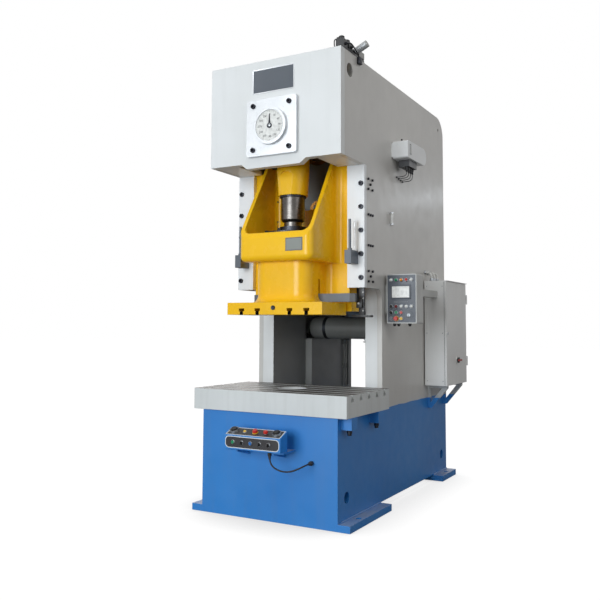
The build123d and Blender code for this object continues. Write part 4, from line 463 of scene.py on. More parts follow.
def addBox(bm, low, high, bevel=0.0, segments=2, index=0):
    size = [h - l for l, h in zip(low, high)]
    middle = [(h + l) / 2 for l, h in zip(low, high)]
    made = bmesh.ops.create_cube(bm, size=1.0,
                                 matrix=Matrix.Translation(middle) @ Matrix.Diagonal((*size, 1.0)))
    for f in {f for v in made["verts"] for f in v.link_faces}:
        f.material_index = index
    if bevel:
        edges = list({e for v in made["verts"] for e in v.link_edges})
        bmesh.ops.bevel(bm, geom=edges, offset=bevel, segments=segments, profile=0.5, affect="EDGES",
                        material=-1)


def turnTo(axis):
    return Vector((0, 0, 1)).rotation_difference(Vector(axis)).to_matrix().to_4x4()


def addRing(bm, place, axis, inner, outer, height, steps, index=0):
    # a flat ring, open inside
    addTurned(bm, place, axis, [(inner, 0.0), (inner, height), (outer, height), (outer, 0.0)], steps, index)


def frontFaces(bm):
    return [f for f in bm.faces if f.normal.y < -0.9]


def addTurned(bm, place, axis, profile, steps=24, index=0):
    # a turned form: the profile is (radius, height) pairs along the axis
    before = set(bm.faces)
    points = [bm.verts.new((r, 0, h)) for r, h in profile]
    edges = [bm.edges.new(pair) for pair in zip(points, points[1:])]
    bmesh.ops.spin(bm, geom=points + edges, cent=(0, 0, 0), axis=(0, 0, 1), angle=2 * pi, steps=steps,
                   use_merge=True)
    made = {v for f in bm.faces if f not in before for v in f.verts}
    bmesh.ops.remove_doubles(bm, verts=list(made), dist=0.00002)
    fresh = [f for f in bm.faces if f not in before]
    for f in fresh:
        f.material_index = index
    bmesh.ops.transform(bm, matrix=Matrix.Translation(place) @ turnTo(axis),
                        verts=list({v for f in fresh for v in f.verts}))


def addBolt(bm, place, axis, radius, height, index=0):
    # six-sided head with a turned crown
    addTurned(bm, place, axis,
              [(0, height), (radius * 0.84, height), (radius, height * 0.82), (radius, 0), (0, 0)], 6, index)


def addTube(bm, points, radius, index=0, order=3, ring=3):
    # a pipe or hose along a smooth line
    data = bpy.data.curves.new("tube", "CURVE")
    data.dimensions = "3D"
    data.bevel_depth = radius
    data.bevel_resolution = ring
    data.resolution_u = 6
    data.use_fill_caps = True
    spline = data.splines.new("NURBS")
    spline.points.add(len(points) - 1)
    for point, place in zip(spline.points, points):
        point.co = (*place, 1.0)
    spline.order_u = order
    spline.use_endpoint_u = True
    holder = bpy.data.objects.new("tube", data)
    mesh = bpy.data.meshes.new_from_object(holder)
    before = len(bm.faces)
    bm.from_mesh(mesh)
    bm.faces.ensure_lookup_table()
    for f in bm.faces[before:]:
        f.material_index = index
    bpy.data.meshes.remove(mesh)
    bpy.data.objects.remove(holder)
    bpy.data.curves.remove(data)


front = (0, -1, 0)
back = (0, 1, 0)
up = (0, 0, 1)
down = (0, 0, -1)
right = (1, 0, 0)

# Console cable, one smooth line from the gland under the console to the one in the base
cable = {"thick": 0.011, "length": 0.39,
         "points": [(0.115, -1.328, 0.482), (0.115, -1.328, 0.436), (0.148, -1.324, 0.398),
                    (0.205, -1.318, 0.380), (0.268, -1.316, 0.384), (0.325, -1.308, 0.408),
                    (0.357, -1.256, 0.429), (0.357, -1.201, 0.429)]}
cableData = bpy.data.curves.new("consoleCableLine", "CURVE")
cableData.dimensions = "3D"
cableData.bevel_depth = cable["thick"] / 2
cableData.bevel_resolution = 4
cableData.resolution_u = 16
cableData.use_fill_caps = True
line = cableData.splines.new("NURBS")
line.points.add(len(cable["points"]) - 1)
for point, place in zip(line.points, cable["points"]):
    point.co = (*place, 1.0)
line.order_u = 3
line.use_endpoint_u = True
cableData.materials.append(rubber[0])
cablePiece = bpy.data.objects.new("consoleCableLine", cableData)
bpy.context.scene.collection.objects.link(cablePiece)
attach(cablePiece, "frame")
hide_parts("console_cable")
glandBoot = {"wide": 0.0105, "thin": 0.0068, "length": 0.026}
bm = bmesh.new()
for place, axis in ((cable["points"][0], down), (cable["points"][-1], front)):
    ribs = [(0, 0.0), (glandBoot["wide"] + 0.003, 0.0), (glandBoot["wide"] + 0.003, 0.004)]
    for i in range(5):
        height = 0.005 + (glandBoot["length"] - 0.005) * i / 5
        wide = glandBoot["wide"] + (glandBoot["thin"] - glandBoot["wide"]) * i / 5
        ribs += [(wide, height), (wide, height + 0.0026), (wide - 0.0012, height + 0.0030)]
    ribs += [(glandBoot["thin"], glandBoot["length"]), (0, glandBoot["length"])]
    addTurned(bm, place, axis, ribs, 20)
finishPiece("glandBoots", bm, rubber, "frame")
print("cable laid")

# Bare plates on the head and on the slide, where such a machine has its plates
plates = {
    "headPlate": {"low": (-0.178, 3.064), "high": (0.178, 3.249), "face": -1.125, "thick": 0.003,
                  "rim": 0.011, "sink": 0.0012, "rivetIn": (0.007, 0.006),
                  "rivet": [(0, 0.002), (0.0025, 0.0015), (0.004, 0)], "steps": 10,
                  "looks": [coverSteel, slatePaint], "body": "frame"},
    "slidePlate": {"low": (0.100, 1.888), "high": (0.238, 1.982), "face": -1.105, "thick": 0.002,
                   "rim": 0.009, "sink": 0.0, "rivetIn": (0.005, 0.005),
                   "rivet": [(0, 0.0015), (0.002, 0.001), (0.003, 0)], "steps": 8,
                   "looks": [slatePaint, platePaint], "body": "ram"},
}
for name, plate in plates.items():
    bm = bmesh.new()
    (x0, z0), (x1, z1) = plate["low"], plate["high"]
    outer = plate["face"] - plate["thick"]
    addBox(bm, (x0, outer, z0), (x1, plate["face"], z1))
    field = frontFaces(bm)
    bmesh.ops.inset_region(bm, faces=field, thickness=plate["rim"])
    for f in field:
        f.material_index = 1
    bmesh.ops.translate(bm, verts=list({v for f in field for v in f.verts}), vec=(0, plate["sink"], 0))
    dx, dz = plate["rivetIn"]
    for x in (x0 + dx, x1 - dx):
        for z in (z0 + dz, z1 - dz):
            addTurned(bm, (x, outer, z), front, plate["rivet"], plate["steps"])
    finishPiece(name, bm, plate["looks"], plate["body"])

# Dial: white face, degree marks and figures, and the pointer's cap
dial = {"centre": (0, -1.173, 2.8), "face": (0.0128, 0.1155), "thick": 0.0006, "marks": (0.098, 0.110),
        "short": (0.008, 0.005), "markLift": 0.00085, "figures": 0.083, "figureSize": 0.021,
        "figureLift": 0.0008, "capLift": 0.005}
dialX, dialY, dialZ = dial["centre"]
bm = bmesh.new()
addRing(bm, dial["centre"], front, *dial["face"], dial["thick"], 72)
finishPiece("dialFace", bm, whitePlastic, "frame")
bm = bmesh.new()
for i in range(72):
    inner, outer = dial["marks"]
    if i % 6:
        inner = outer - dial["short"][i % 2]
    wide = 0.0008 if i % 6 else 0.0016
    turn = Matrix.Translation((0, dialY - dial["markLift"], dialZ)) @ Matrix.Rotation(radians(5 * i), 4, "Y")
    bmesh.ops.create_cube(bm, size=1.0, matrix=turn @ Matrix.Translation((0, 0, (inner + outer) / 2))
                          @ Matrix.Diagonal((wide, 0.0005, outer - inner, 1.0)))
finishPiece("dialMarks", bm, blackPlastic, "frame", smooth=0)
bm = bmesh.new()
for i in range(12):
    letters = bpy.data.curves.new("figure", "FONT")
    letters.body = str(30 * i)
    letters.size = dial["figureSize"]
    letters.align_x = "CENTER"
    letters.align_y = "CENTER"
    letters.extrude = 0.0002
    holder = bpy.data.objects.new("figure", letters)
    flat = bpy.data.meshes.new_from_object(holder)
    angle = radians(30 * i)
    out = dial["figures"]
    spot = Vector((out * sin(angle), dialY - dial["figureLift"], dialZ + out * cos(angle)))
    flat.transform(Matrix.Translation(spot) @ Matrix.Rotation(pi / 2, 4, "X"))
    bm.from_mesh(flat)
    bpy.data.meshes.remove(flat)
    bpy.data.objects.remove(holder)
    bpy.data.curves.remove(letters)
finishPiece("dialFigures", bm, blackPlastic, "frame", smooth=0)
bm = bmesh.new()
addTurned(bm, (dialX, dialY - dial["capLift"], dialZ), front,
          [(0.0, 0.006), (0.008, 0.0052), (0.013, 0.002), (0.013, 0.0), (0, 0)], 24)
finishPiece("pointerCap", bm, groundSteel, "crank")
print("plates and dial made")

# Control box: lamps, screen, keys and the rings round its controls
controlFace = {"y": -0.365, "columns": [0.609 + 0.041 * i for i in range(5)], "lampRow": 1.706,
               "rows": [1.504, 1.458, 1.412], "key": (0.752, 1.437)}
faceAt, columns, rows = controlFace["y"], controlFace["columns"], controlFace["rows"]
lampPlaces = [(x, controlFace["lampRow"]) for x in columns] + [(x, rows[0]) for x in columns[2:]]
lampMats = [whitePlastic, greenPlastic, orangePlastic, redPlastic, whitePlastic] + [whitePlastic] * 3
ringPlaces = [(0, 0), (1, 0), (0, 1), (1, 1), (2, 1), (0, 2), (2, 2)]  # column, row
domeProfile = [(0.0, 0.0135), (0.005, 0.0128), (0.0092, 0.0100), (0.0112, 0.0060), (0.0115, 0.0)]
ringProfile = [(0.0118, 0.0), (0.0118, 0.0032), (0.0134, 0.0044), (0.0152, 0.0032), (0.0158, 0.0),
               (0.0118, 0.0)]
bm = bmesh.new()
for x, z in lampPlaces + [(columns[i], rows[j]) for i, j in ringPlaces] + [controlFace["key"]]:
    addTurned(bm, (x, faceAt, z), front, ringProfile, 20)
finishPiece("controlRings", bm, groundSteel, "frame")
for i, ((x, z), made) in enumerate(zip(lampPlaces, lampMats)):
    bm = bmesh.new()
    addTurned(bm, (x, faceAt, z), front, domeProfile, 16)
    finishPiece(f"lamp_{i + 1}", bm, made, "frame")
screen = {"middle": (0.689, 1.614), "half": (0.080, 0.054), "proud": 0.0085, "seat": 0.0005, "rim": 0.014,
          "sink": -0.002}
bm = bmesh.new()
(sx, sz), (sw, sh) = screen["middle"], screen["half"]
addBox(bm, (sx - sw, faceAt - screen["proud"], sz - sh), (sx + sw, faceAt + screen["seat"], sz + sh), 0.003)
glass = frontFaces(bm)
bmesh.ops.inset_region(bm, faces=glass, thickness=screen["rim"], depth=screen["sink"])
for f in glass:
    f.material_index = 1
finishPiece("screenBezel", bm, [slatePaint, whitePlastic], "frame")
softKeys = {"count": 9, "start": 0.632, "pitch": 0.0128, "wide": 0.010, "rows": (1.5335, 1.5425),
            "proud": 0.0022}
bm = bmesh.new()
for i in range(softKeys["count"]):
    x = softKeys["start"] + softKeys["pitch"] * i
    z0, z1 = softKeys["rows"]
    addBox(bm, (x, faceAt - softKeys["proud"], z0), (x + softKeys["wide"], faceAt + 0.0002, z1), 0.0008)
finishPiece("softKeys", bm, greyPlastic, "frame")
bm = bmesh.new()
addRing(bm, (columns[1], faceAt, rows[2]), front, 0.0118, 0.0205, 0.0022, 28)
finishPiece("boxStopRing", bm, yellowPlastic, "frame")
bm = bmesh.new()
addTurned(bm, (controlFace["key"][0], faceAt, controlFace["key"][1]), front,
          [(0.0160, 0.0), (0.0160, 0.0025), (0.030, 0.0025), (0.031, 0.0)], 28)
finishPiece("keyPlate", bm, slatePaint, "frame")
boxGlands = {"xs": (0.612, 0.645, 0.735), "y": -0.300, "z": 1.375,
             "form": [(0.014, 0), (0.014, 0.009), (0.011, 0.010), (0.011, 0.018), (0.006, 0.022), (0, 0.022)]}
bm = bmesh.new()
for x in boxGlands["xs"]:
    addTurned(bm, (x, boxGlands["y"], boxGlands["z"]), down, boxGlands["form"], 6)
finishPiece("boxGlands", bm, blackPlastic, "frame")
print("control box dressed")

# Console: rings, palm guards and the stop button's yellow ring, low enough for the pressed heads
consoleFace = {"topPitch": 0.085, "frontPitch": 0.071, "frontMiddle": -0.010, "frontY": -1.375,
               "collar": [(0.0150, 0.0), (0.0150, 0.002), (0.029, 0.002), (0.029, 0.016), (0.032, 0.016),
                          (0.033, 0.0), (0.0150, 0.0)]}
topNormal = (0, -sin(slope), cos(slope))
lowRing = [(r, h * 0.5) for r, h in ringProfile]
topPlaces = [(step * consoleFace["topPitch"], topY, topZ) for step in range(-2, 3)]
bm = bmesh.new()
for step in range(-2, 3):
    x = consoleFace["frontMiddle"] + step * consoleFace["frontPitch"]
    addTurned(bm, (x, consoleFace["frontY"], faceZ), front, ringProfile, 20)
addTurned(bm, topPlaces[1], topNormal, ringProfile, 20)
addTurned(bm, topPlaces[3], topNormal, lowRing, 20)
finishPiece("consoleRings", bm, groundSteel, "frame")
bm = bmesh.new()
for place in (topPlaces[0], topPlaces[4]):
    addTurned(bm, place, topNormal, consoleFace["collar"], 28)
finishPiece("palmCollars", bm, groundSteel, "frame")
bm = bmesh.new()
addRing(bm, topPlaces[2], topNormal, 0.0118, 0.0215, 0.002, 28)
finishPiece("consoleStopRing", bm, yellowPlastic, "frame")
print("console dressed")

# Slide: the socket screw that clamps the die shank, and the oil line down the back wall
clampScrew = {"place": (0.0, -1.105, 1.482), "wide": 0.017, "proud": 0.006, "socket": 0.0085}
bm = bmesh.new()
addTurned(bm, clampScrew["place"], front,
          [(clampScrew["socket"], -0.002), (clampScrew["socket"], 0.0048),
           (clampScrew["wide"] - 0.001, clampScrew["proud"]),
           (clampScrew["wide"], clampScrew["proud"] - 0.001), (clampScrew["wide"], 0.0)], 24)
addTurned(bm, clampScrew["place"], front, [(0, 0.001), (0.0095, 0.001), (0.0095, -0.001)], 6)
finishPiece("clampScrew", bm, darkSteel, "ram")
oilLine = {"x": -0.262, "y": -0.606, "wide": 0.0035, "clips": (2.18, 2.34, 2.50),
           "clip": (0.009, 0.006, 0.005),
           "bends": [(0, 0, 2.560), (0, 0, 2.3), (0, 0, 2.12), (0.004, -0.006, 2.055), (0.035, -0.06, 1.999),
                     (0.04, -0.10, 1.992)]}
oilX, oilY = oilLine["x"], oilLine["y"]
bm = bmesh.new()
addTube(bm, [(oilX + dx, oilY + dy, z) for dx, dy, z in oilLine["bends"]], oilLine["wide"])
cx, cy, cz = oilLine["clip"]
for z in oilLine["clips"]:
    addBox(bm, (oilX - cx, oilY - cy, z - cz), (oilX + cx, oilY + cy, z + cz), 0.001)
finishPiece("slideOilLine", bm, blackPlastic, "ram")

# Thin bright rods beside the hanging stop screws: a painted reflection of the screws on the gib plates, made
# as rods
reflectionRods = {"xs": (-0.474, 0.474), "out": 0.018, "y": -0.775, "low": 1.902, "long": 0.216, "wide": 0.0045}
bm = bmesh.new()
for x in reflectionRods["xs"]:
    addTurned(bm, (x + reflectionRods["out"], reflectionRods["y"], reflectionRods["low"]), up,
              [(0, 0), (reflectionRods["wide"], 0), (reflectionRods["wide"], reflectionRods["long"] - 0.002),
               (0.003, reflectionRods["long"]), (0, reflectionRods["long"])], 12)
finishPiece("reflectionRods", bm, coverSteel, "frame")

# Bolster lugs: washer and the bolt's end under each
lugEnds = {"places": ((0.5875, -1.069), (0.5875, -0.608), (-0.5875, -0.850), (-0.5875, -0.608)), "top": 0.656,
           "washer": (0.0185, 0.026, 0.0035), "end": 0.632}
bm = bmesh.new()
for x, y in lugEnds["places"]:
    inner, outer, thick = lugEnds["washer"]
    addTurned(bm, (x, y, lugEnds["top"]), down, [(inner, 0.0), (outer, 0.0), (outer, thick), (inner, thick)],
              24)
    addTurned(bm, (x, y, lugEnds["end"]), down,
              [(0, 0.016), (0.013, 0.016), (0.0145, 0.0145), (0.0145, 0.0), (0, 0)], 20)
finishPiece("lugEnds", bm, darkSteel, "frame")

# Sensor bracket under the right gib: a black upright with pale heads, and its foot
sensorBracket = {"x": (0.497, 0.541), "y": (-0.716, -0.700), "z": (1.430, 1.635), "foot": (0.442, 0.592),
                 "pitch": 0.045,
                 "loop": [(-0.008, -0.006, 0.10), (0.004, -0.014, 0.06), (0.012, -0.010, 0.03),
                          (0.006, 0.004, 0.006)]}
bm = bmesh.new()
x0, x1 = sensorBracket["x"]
y0, y1 = sensorBracket["y"]
z0, z1 = sensorBracket["z"]
addBox(bm, (x0, y0, z0), (x1, y1, z1), 0.002)
addBox(bm, (sensorBracket["foot"][0], y0, z0 - 0.012), (sensorBracket["foot"][1], y1 + 0.03, z0 + 0.004),
       0.002)
addBox(bm, (x0 - 0.012, y0 - 0.022, z0 + 0.055), (x1 - 0.010, y0, z0 + 0.120), 0.004)
addTube(bm, [(x1 + dx, y0 + dy, z0 + dz) for dx, dy, dz in sensorBracket["loop"]], 0.004)
finishPiece("sensorBracket", bm, blackPaint, "frame")
bm = bmesh.new()
for i in range(4):
    addTurned(bm, (x1 - 0.010, y0, z0 + 0.035 + sensorBracket["pitch"] * i), front,
              [(0, 0.004), (0.004, 0.0035), (0.0055, 0.0), (0, 0)], 12)
addTurned(bm, (x0 + 0.008, y0 - 0.022, z0 + 0.088), front, [(0, 0.005), (0.006, 0.004), (0.008, 0.0), (0, 0)],
          16)
finishPiece("sensorHeads", bm, whitePlastic, "frame")
print("slide, lugs and sensor bracket dressed")

# Lubricator: pump outlets with their pipes into the side plate, filler cap and level window
lubLook = {"side": 0.55, "outer": 0.69, "outlets": (-0.095, -0.052, -0.009, 0.034), "outletX": 0.640,
           "low": 2.634, "pipe": 0.003, "pipeRow": 2.558, "rowStep": 0.006,
           "window": ((-0.150, 2.722), (-0.120, 2.805)), "nozzle": (0.610, -0.120, 2.830)}
bm = bmesh.new()
for i, y in enumerate(lubLook["outlets"]):
    x, low, side = lubLook["outletX"], lubLook["low"], lubLook["side"]
    row = lubLook["pipeRow"] - lubLook["rowStep"] * i
    addTurned(bm, (x, y, low), down,
              [(0.0, 0.0), (0.012, 0.0), (0.012, 0.016), (0.009, 0.018), (0.009, 0.030), (0.0, 0.030)], 16, 0)
    addBolt(bm, (x, y, low - 0.030), down, 0.008, 0.010, 1)
    addTube(bm, [(x, y, low - 0.040), (x, y, row + 0.016), (x - 0.02, y, row + 0.002), (x - 0.05, y, row),
                 (side, y, row)],
            lubLook["pipe"], 1)
    addTurned(bm, (side, y, row), right, [(0.0, 0.012), (0.006, 0.012), (0.008, 0.0), (0, 0)], 6, 1)
finishPiece("lubOutlets", bm, [blackPlastic, darkSteel], "frame")
bm = bmesh.new()
nozzleX, nozzleY, nozzleZ = lubLook["nozzle"]
addTurned(bm, (0.630, -0.020, 2.856), up, [(0, 0.010), (0.012, 0.010), (0.015, 0.006), (0.015, 0.0), (0, 0)],
          12)
addTurned(bm, (nozzleX, nozzleY, nozzleZ), up,
          [(0, 0.030), (0.006, 0.030), (0.007, 0.026), (0.007, 0.010), (0.011, 0.008), (0.011, 0), (0, 0)],
          16)
addBox(bm, (nozzleX - 0.016, nozzleY - 0.030, nozzleZ), (nozzleX + 0.042, nozzleY + 0.028, nozzleZ + 0.006),
       0.002)
finishPiece("lubCap", bm, blackPlastic, "frame")
bm = bmesh.new()
(y0, z0), (y1, z1) = lubLook["window"]
addBox(bm, (lubLook["outer"] - 0.0015, y0, z0), (lubLook["outer"] + 0.0025, y1, z1), 0.0015)
pane = [f for f in bm.faces if f.normal.x > 0.9]
bmesh.ops.inset_region(bm, faces=pane, thickness=0.006, depth=-0.0015)
for f in pane:
    f.material_index = 1
finishPiece("lubWindow", bm, [greyPlastic, whitePlastic], "frame")

# Sight tube on the right side plate, in two clips
sightTube = {"x": 0.566, "y": -0.228, "low": 2.151, "high": 2.255, "wide": 0.0125, "long": 0.080,
             "clip": (0.011, 0.014)}
bm = bmesh.new()
tubeX, tubeY, half = sightTube["x"], sightTube["y"], sightTube["clip"][0]
addTurned(bm, (tubeX, tubeY, sightTube["low"] + 0.012), up,
          [(0, 0), (sightTube["wide"], 0), (sightTube["wide"], sightTube["long"]), (0, sightTube["long"])],
          20, 0)
for z in (sightTube["low"], sightTube["high"] - sightTube["clip"][1]):
    addBox(bm, (lubLook["side"], tubeY - half, z), (tubeX + half, tubeY + half, z + sightTube["clip"][1]),
           0.0015, 2, 1)
finishPiece("sightTube", bm, [whitePlastic, coverSteel], "frame")
print("lubrication dressed")

# Air valve on the head: solenoid coils, nuts, fittings, hoses and the exhaust silencer's ribs
valveLook = {"x": 0.500, "bodies": (-1.010, -0.920), "top": 3.398, "low": 3.344, "portX": 0.532,
             "portZ": 3.366, "screws": (0.024, 0.023),
             "coil": [(0, 0.026), (0.0195, 0.026), (0.0215, 0.023), (0.0215, 0.004), (0.019, 0.0), (0, 0)],
             "port": [(0, 0.018), (0.007, 0.018), (0.007, 0.010), (0.011, 0.010), (0.011, 0.0), (0, 0)]}
valveX, top, low = valveLook["x"], valveLook["top"], valveLook["low"]
bm = bmesh.new()
for y in valveLook["bodies"]:
    addBox(bm, (valveX - 0.030, y - 0.029, low), (valveX + 0.030, y + 0.029, low + 0.008), 0.001, 2, 1)
    addTurned(bm, (valveX, y, top), up, valveLook["coil"], 24, 0)
    addBolt(bm, (valveX, y, top + 0.0255), up, 0.011, 0.007, 1)
    addBox(bm, (valveX - 0.034, y - 0.012, top + 0.002), (valveX - 0.014, y + 0.012, top + 0.022), 0.002, 2,
           0)
    sx, sy = valveLook["screws"]
    for dx in (-sx, sx):
        for dy in (-sy, sy):
            addTurned(bm, (valveX + dx, y + dy, top), up,
                      [(0.0022, 0.0012), (0.0022, 0.0032), (0.004, 0.0032), (0.004, 0.0)], 12, 1)
    addTurned(bm, (valveLook["portX"], y, valveLook["portZ"]), right, valveLook["port"], 6, 2)
finishPiece("valveCoils", bm, [blackPlastic, groundSteel, darkSteel], "frame")
hoses = [  # thickness and bends of each
    (0.004, [(0.476, -1.010, 3.412), (0.452, -1.010, 3.414), (0.436, -1.004, 3.404), (0.430, -0.980, 3.352),
             (0.430, -0.950, 3.318), (0.430, -0.950, 3.309)]),
    (0.004, [(0.476, -0.920, 3.412), (0.452, -0.920, 3.414), (0.436, -0.914, 3.404), (0.430, -0.890, 3.352),
             (0.430, -0.866, 3.318), (0.430, -0.866, 3.309)]),
    (0.009, [(0.515, -0.725, 3.356), (0.515, -0.690, 3.356), (0.513, -0.664, 3.350), (0.508, -0.652, 3.330),
             (0.508, -0.650, 3.309)]),
    (0.005, [(0.548, -1.010, 3.366), (0.560, -1.008, 3.366), (0.571, -0.995, 3.362), (0.571, -0.955, 3.350),
             (0.568, -0.890, 3.332), (0.563, -0.850, 3.318), (0.560, -0.835, 3.290)]),
]
bm = bmesh.new()
for thick, bends in hoses:
    addTube(bm, bends, thick)
finishPiece("valveHoses", bm, rubber, "frame")
unions = {"seats": ((0.430, -0.950, 0.010), (0.430, -0.866, 0.010), (0.508, -0.650, 0.018)), "z": 3.310,
          "block": ((0.550, -0.860, 3.262), (0.574, -0.810, 3.312)), "nut": (0.515, -0.725, 3.356)}
bm = bmesh.new()
for x, y, wide in unions["seats"]:
    addBolt(bm, (x, y, unions["z"]), up, wide, 0.010)
addBox(bm, *unions["block"], 0.003)
addTurned(bm, unions["nut"], back, [(0, 0.014), (0.013, 0.014), (0.016, 0.010), (0.016, 0.0), (0, 0)], 6)
finishPiece("valveUnions", bm, darkSteel, "frame")
silencer = {"place": (0.512, -0.835, 3.354), "tilt": 26, "wide": 0.0268, "body": 0.0255, "ribs": 9,
            "pitch": 0.0105, "start": 0.022}
silencerAxis = Vector((cos(radians(silencer["tilt"])), 0, sin(radians(silencer["tilt"]))))
bm = bmesh.new()
for i in range(silencer["ribs"]):
    spot = Vector(silencer["place"]) + silencerAxis * (silencer["start"] + silencer["pitch"] * i)
    wide, body = silencer["wide"], silencer["body"]
    addTurned(bm, spot, silencerAxis, [(body, 0.0), (wide, 0.001), (wide, 0.005), (body, 0.006)], 24)
finishPiece("silencerRibs", bm, zincSheet, "frame")
print("air valve dressed")

# Cabinet: lock insert, hinge pins, top entries, door seal line and fixing screws
cabLook = {"lock": (0.760, 0.552, 1.295), "hinge": (0.757, 1.118), "hingeRows": (1.000, 1.560), "pin": 0.0092,
           "top": 1.749, "entryX": 0.612, "entries": (0.575, 0.640, 0.720), "wall": 0.5505, "pipeTop": 1.826,
           "seal": ((0.7355, 0.528, 0.852), (0.7375, 1.1085, 1.738)),
           "front": 0.530, "screwXs": (0.580, 0.720), "screwRows": (0.885, 1.295, 1.700)}
bm = bmesh.new()
lockX, lockY, lockZ = cabLook["lock"]
addTurned(bm, cabLook["lock"], right,
          [(0.004, -0.001), (0.004, 0.001), (0.0085, 0.002), (0.011, 0.0015), (0.0118, 0.0)], 20, 0)
addBox(bm, (lockX + 0.0005, lockY - 0.0075, lockZ - 0.0015), (lockX + 0.0015, lockY + 0.0075, lockZ + 0.0015),
       0.0, 1, 1)
for z in cabLook["hingeRows"]:
    pin = cabLook["pin"]
    addTurned(bm, (*cabLook["hinge"], z - 0.002), up, [(0, 0), (pin, 0), (pin, 0.003), (0, 0.003)], 16, 0)
    addTurned(bm, (*cabLook["hinge"], z + 0.079), up, [(0, 0.004), (0.006, 0.003), (pin, 0.0), (0, 0)], 16, 0)
finishPiece("cabinetLock", bm, [groundSteel, blackPlastic], "door")
bm = bmesh.new()
entryX, entryZ, pipeTop = cabLook["entryX"], cabLook["top"], cabLook["pipeTop"]
for i, y in enumerate(cabLook["entries"]):
    addBolt(bm, (entryX, y, entryZ), up, 0.020, 0.012, 0)
    addTurned(bm, (entryX, y, entryZ + 0.012), up,
              [(0, 0.014), (0.014, 0.014), (0.016, 0.010), (0.016, 0.0), (0, 0)], 20, 0)
    addTube(bm, [(entryX, y, entryZ + 0.021), (entryX, y, entryZ + 0.051 + 0.004 * i),
                 (0.596, y, pipeTop - 0.004), (0.572, y, pipeTop), (0.548, y, pipeTop)], 0.010, 1)
    addTurned(bm, (cabLook["wall"], y, pipeTop), right,
              [(0, 0.010), (0.013, 0.010), (0.018, 0.004), (0.018, 0.0), (0, 0)], 20, 0)
finishPiece("cabinetEntries", bm, [groundSteel, whitePlastic], "frame")
bm = bmesh.new()
addBox(bm, *cabLook["seal"])
finishPiece("doorSeal", bm, rubber, "frame", smooth=0)
bm = bmesh.new()
for z in cabLook["screwRows"]:
    for x in cabLook["screwXs"]:
        addTurned(bm, (x, cabLook["front"], z), front, [(0, 0.0016), (0.002, 0.0015), (0.0042, 0.0), (0, 0)],
                  12)
finishPiece("cabinetScrews", bm, groundSteel, "frame")
print("cabinet dressed")

# Air receiver: strap bands, drain cock and pipe unions
receiverLook = {"y": 0.257, "z": 1.335, "r": 0.095, "bands": (-0.24, 0.24), "bandWide": 0.030, "cockX": 0.12,
                "pipes": (0.795, 0.860), "pipeX": -0.333, "unionRows": (1.205, 0.770)}
tankY, tankZ, radius, wide = (receiverLook[key] for key in ("y", "z", "r", "bandWide"))
bm = bmesh.new()
for x in receiverLook["bands"]:
    under, over = radius - 0.0005, radius + 0.0025
    addTurned(bm, (x - wide / 2, tankY, tankZ), right,
              [(under, 0), (over, 0.001), (over, wide - 0.001), (under, wide)], 48, 0)
cockX = receiverLook["cockX"]
addTurned(bm, (cockX, tankY, tankZ - radius + 0.002), down,
          [(0, 0), (0.012, 0), (0.012, 0.012), (0.007, 0.014), (0.007, 0.034), (0, 0.034)], 12, 1)
addBox(bm, (cockX - 0.022, tankY - 0.004, tankZ - 0.122), (cockX + 0.022, tankY + 0.004, tankZ - 0.116),
       0.001, 2, 0)
for y in receiverLook["pipes"]:
    for z in receiverLook["unionRows"]:
        addBolt(bm, (receiverLook["pipeX"], y, z), up, 0.015, 0.022, 1)
finishPiece("receiverFittings", bm, [darkSteel, groundSteel], "frame")

# Motor: cooling fins, seen through the guard's slots
motorLook = {"z": 1.600, "r": 0.130, "start": 0.315, "end": 0.560, "fins": 36, "fin": (0.004, 0.014),
             "lift": 0.006}
middle, long = (motorLook["start"] + motorLook["end"]) / 2, motorLook["end"] - motorLook["start"]
thick, tall = motorLook["fin"]
bm = bmesh.new()
for i in range(motorLook["fins"]):
    angle = 2 * pi * i / motorLook["fins"]
    if abs(angle - pi / 2) < 0.5 or abs(angle - pi) < 0.55:
        continue  # clear of the terminal box and the feet
    turn = Matrix.Translation((0, 0, motorLook["z"])) @ Matrix.Rotation(angle, 4, "Y")
    bmesh.ops.create_cube(bm, size=1.0,
                          matrix=turn @ Matrix.Translation((0, middle, motorLook["r"] + motorLook["lift"]))
                          @ Matrix.Diagonal((thick, long, tall, 1.0)))
finishPiece("motorFins", bm, motorPaint, "frame")

# Rear guard: fixing bolts round its edge
guardLook = {"y": 1.115, "columns": (-0.485, 0.485), "rows": 7, "low": 1.275, "high": 2.935}
bm = bmesh.new()
for x in guardLook["columns"]:
    for row in range(guardLook["rows"]):
        z = guardLook["low"] + (guardLook["high"] - guardLook["low"]) * row / (guardLook["rows"] - 1)
        addTurned(bm, (x, guardLook["y"], z), back, [(0.008, 0), (0.015, 0), (0.015, 0.002), (0.008, 0.002)],
                  20)
        addBolt(bm, (x, guardLook["y"] + 0.002, z), back, 0.011, 0.0055)
finishPiece("guardBolts", bm, groundSteel, "frame")

# Weld beads: side plates to the feet and to the lugs
weldLook = {"foot": (0.552, 0.050, 0.006), "runs": ((-1.130, -0.456), (0.742, 1.112)),  # x, z, thickness
            "lug": (0.5515, 0.0475, 0.004), "lugRows": (0.660, 0.700, 0.738)}
bm = bmesh.new()
footX, footZ, footBead = weldLook["foot"]
for side in (-1, 1):
    for start, end in weldLook["runs"]:
        addTube(bm, [(side * footX, y, footZ) for y in (start, (start + end) / 2, end)], footBead, 0, 2, 2)
lugX, lugHalf, lugBead = weldLook["lug"]
for x, y in lugEnds["places"]:
    for dy in (-lugHalf, lugHalf):
        addTube(bm, [(lugX if x > 0 else -lugX, y + dy, z) for z in weldLook["lugRows"]], lugBead, 0, 2, 2)
finishPiece("weldBeads", bm, bluePaint, "frame")
print("back and welds dressed")

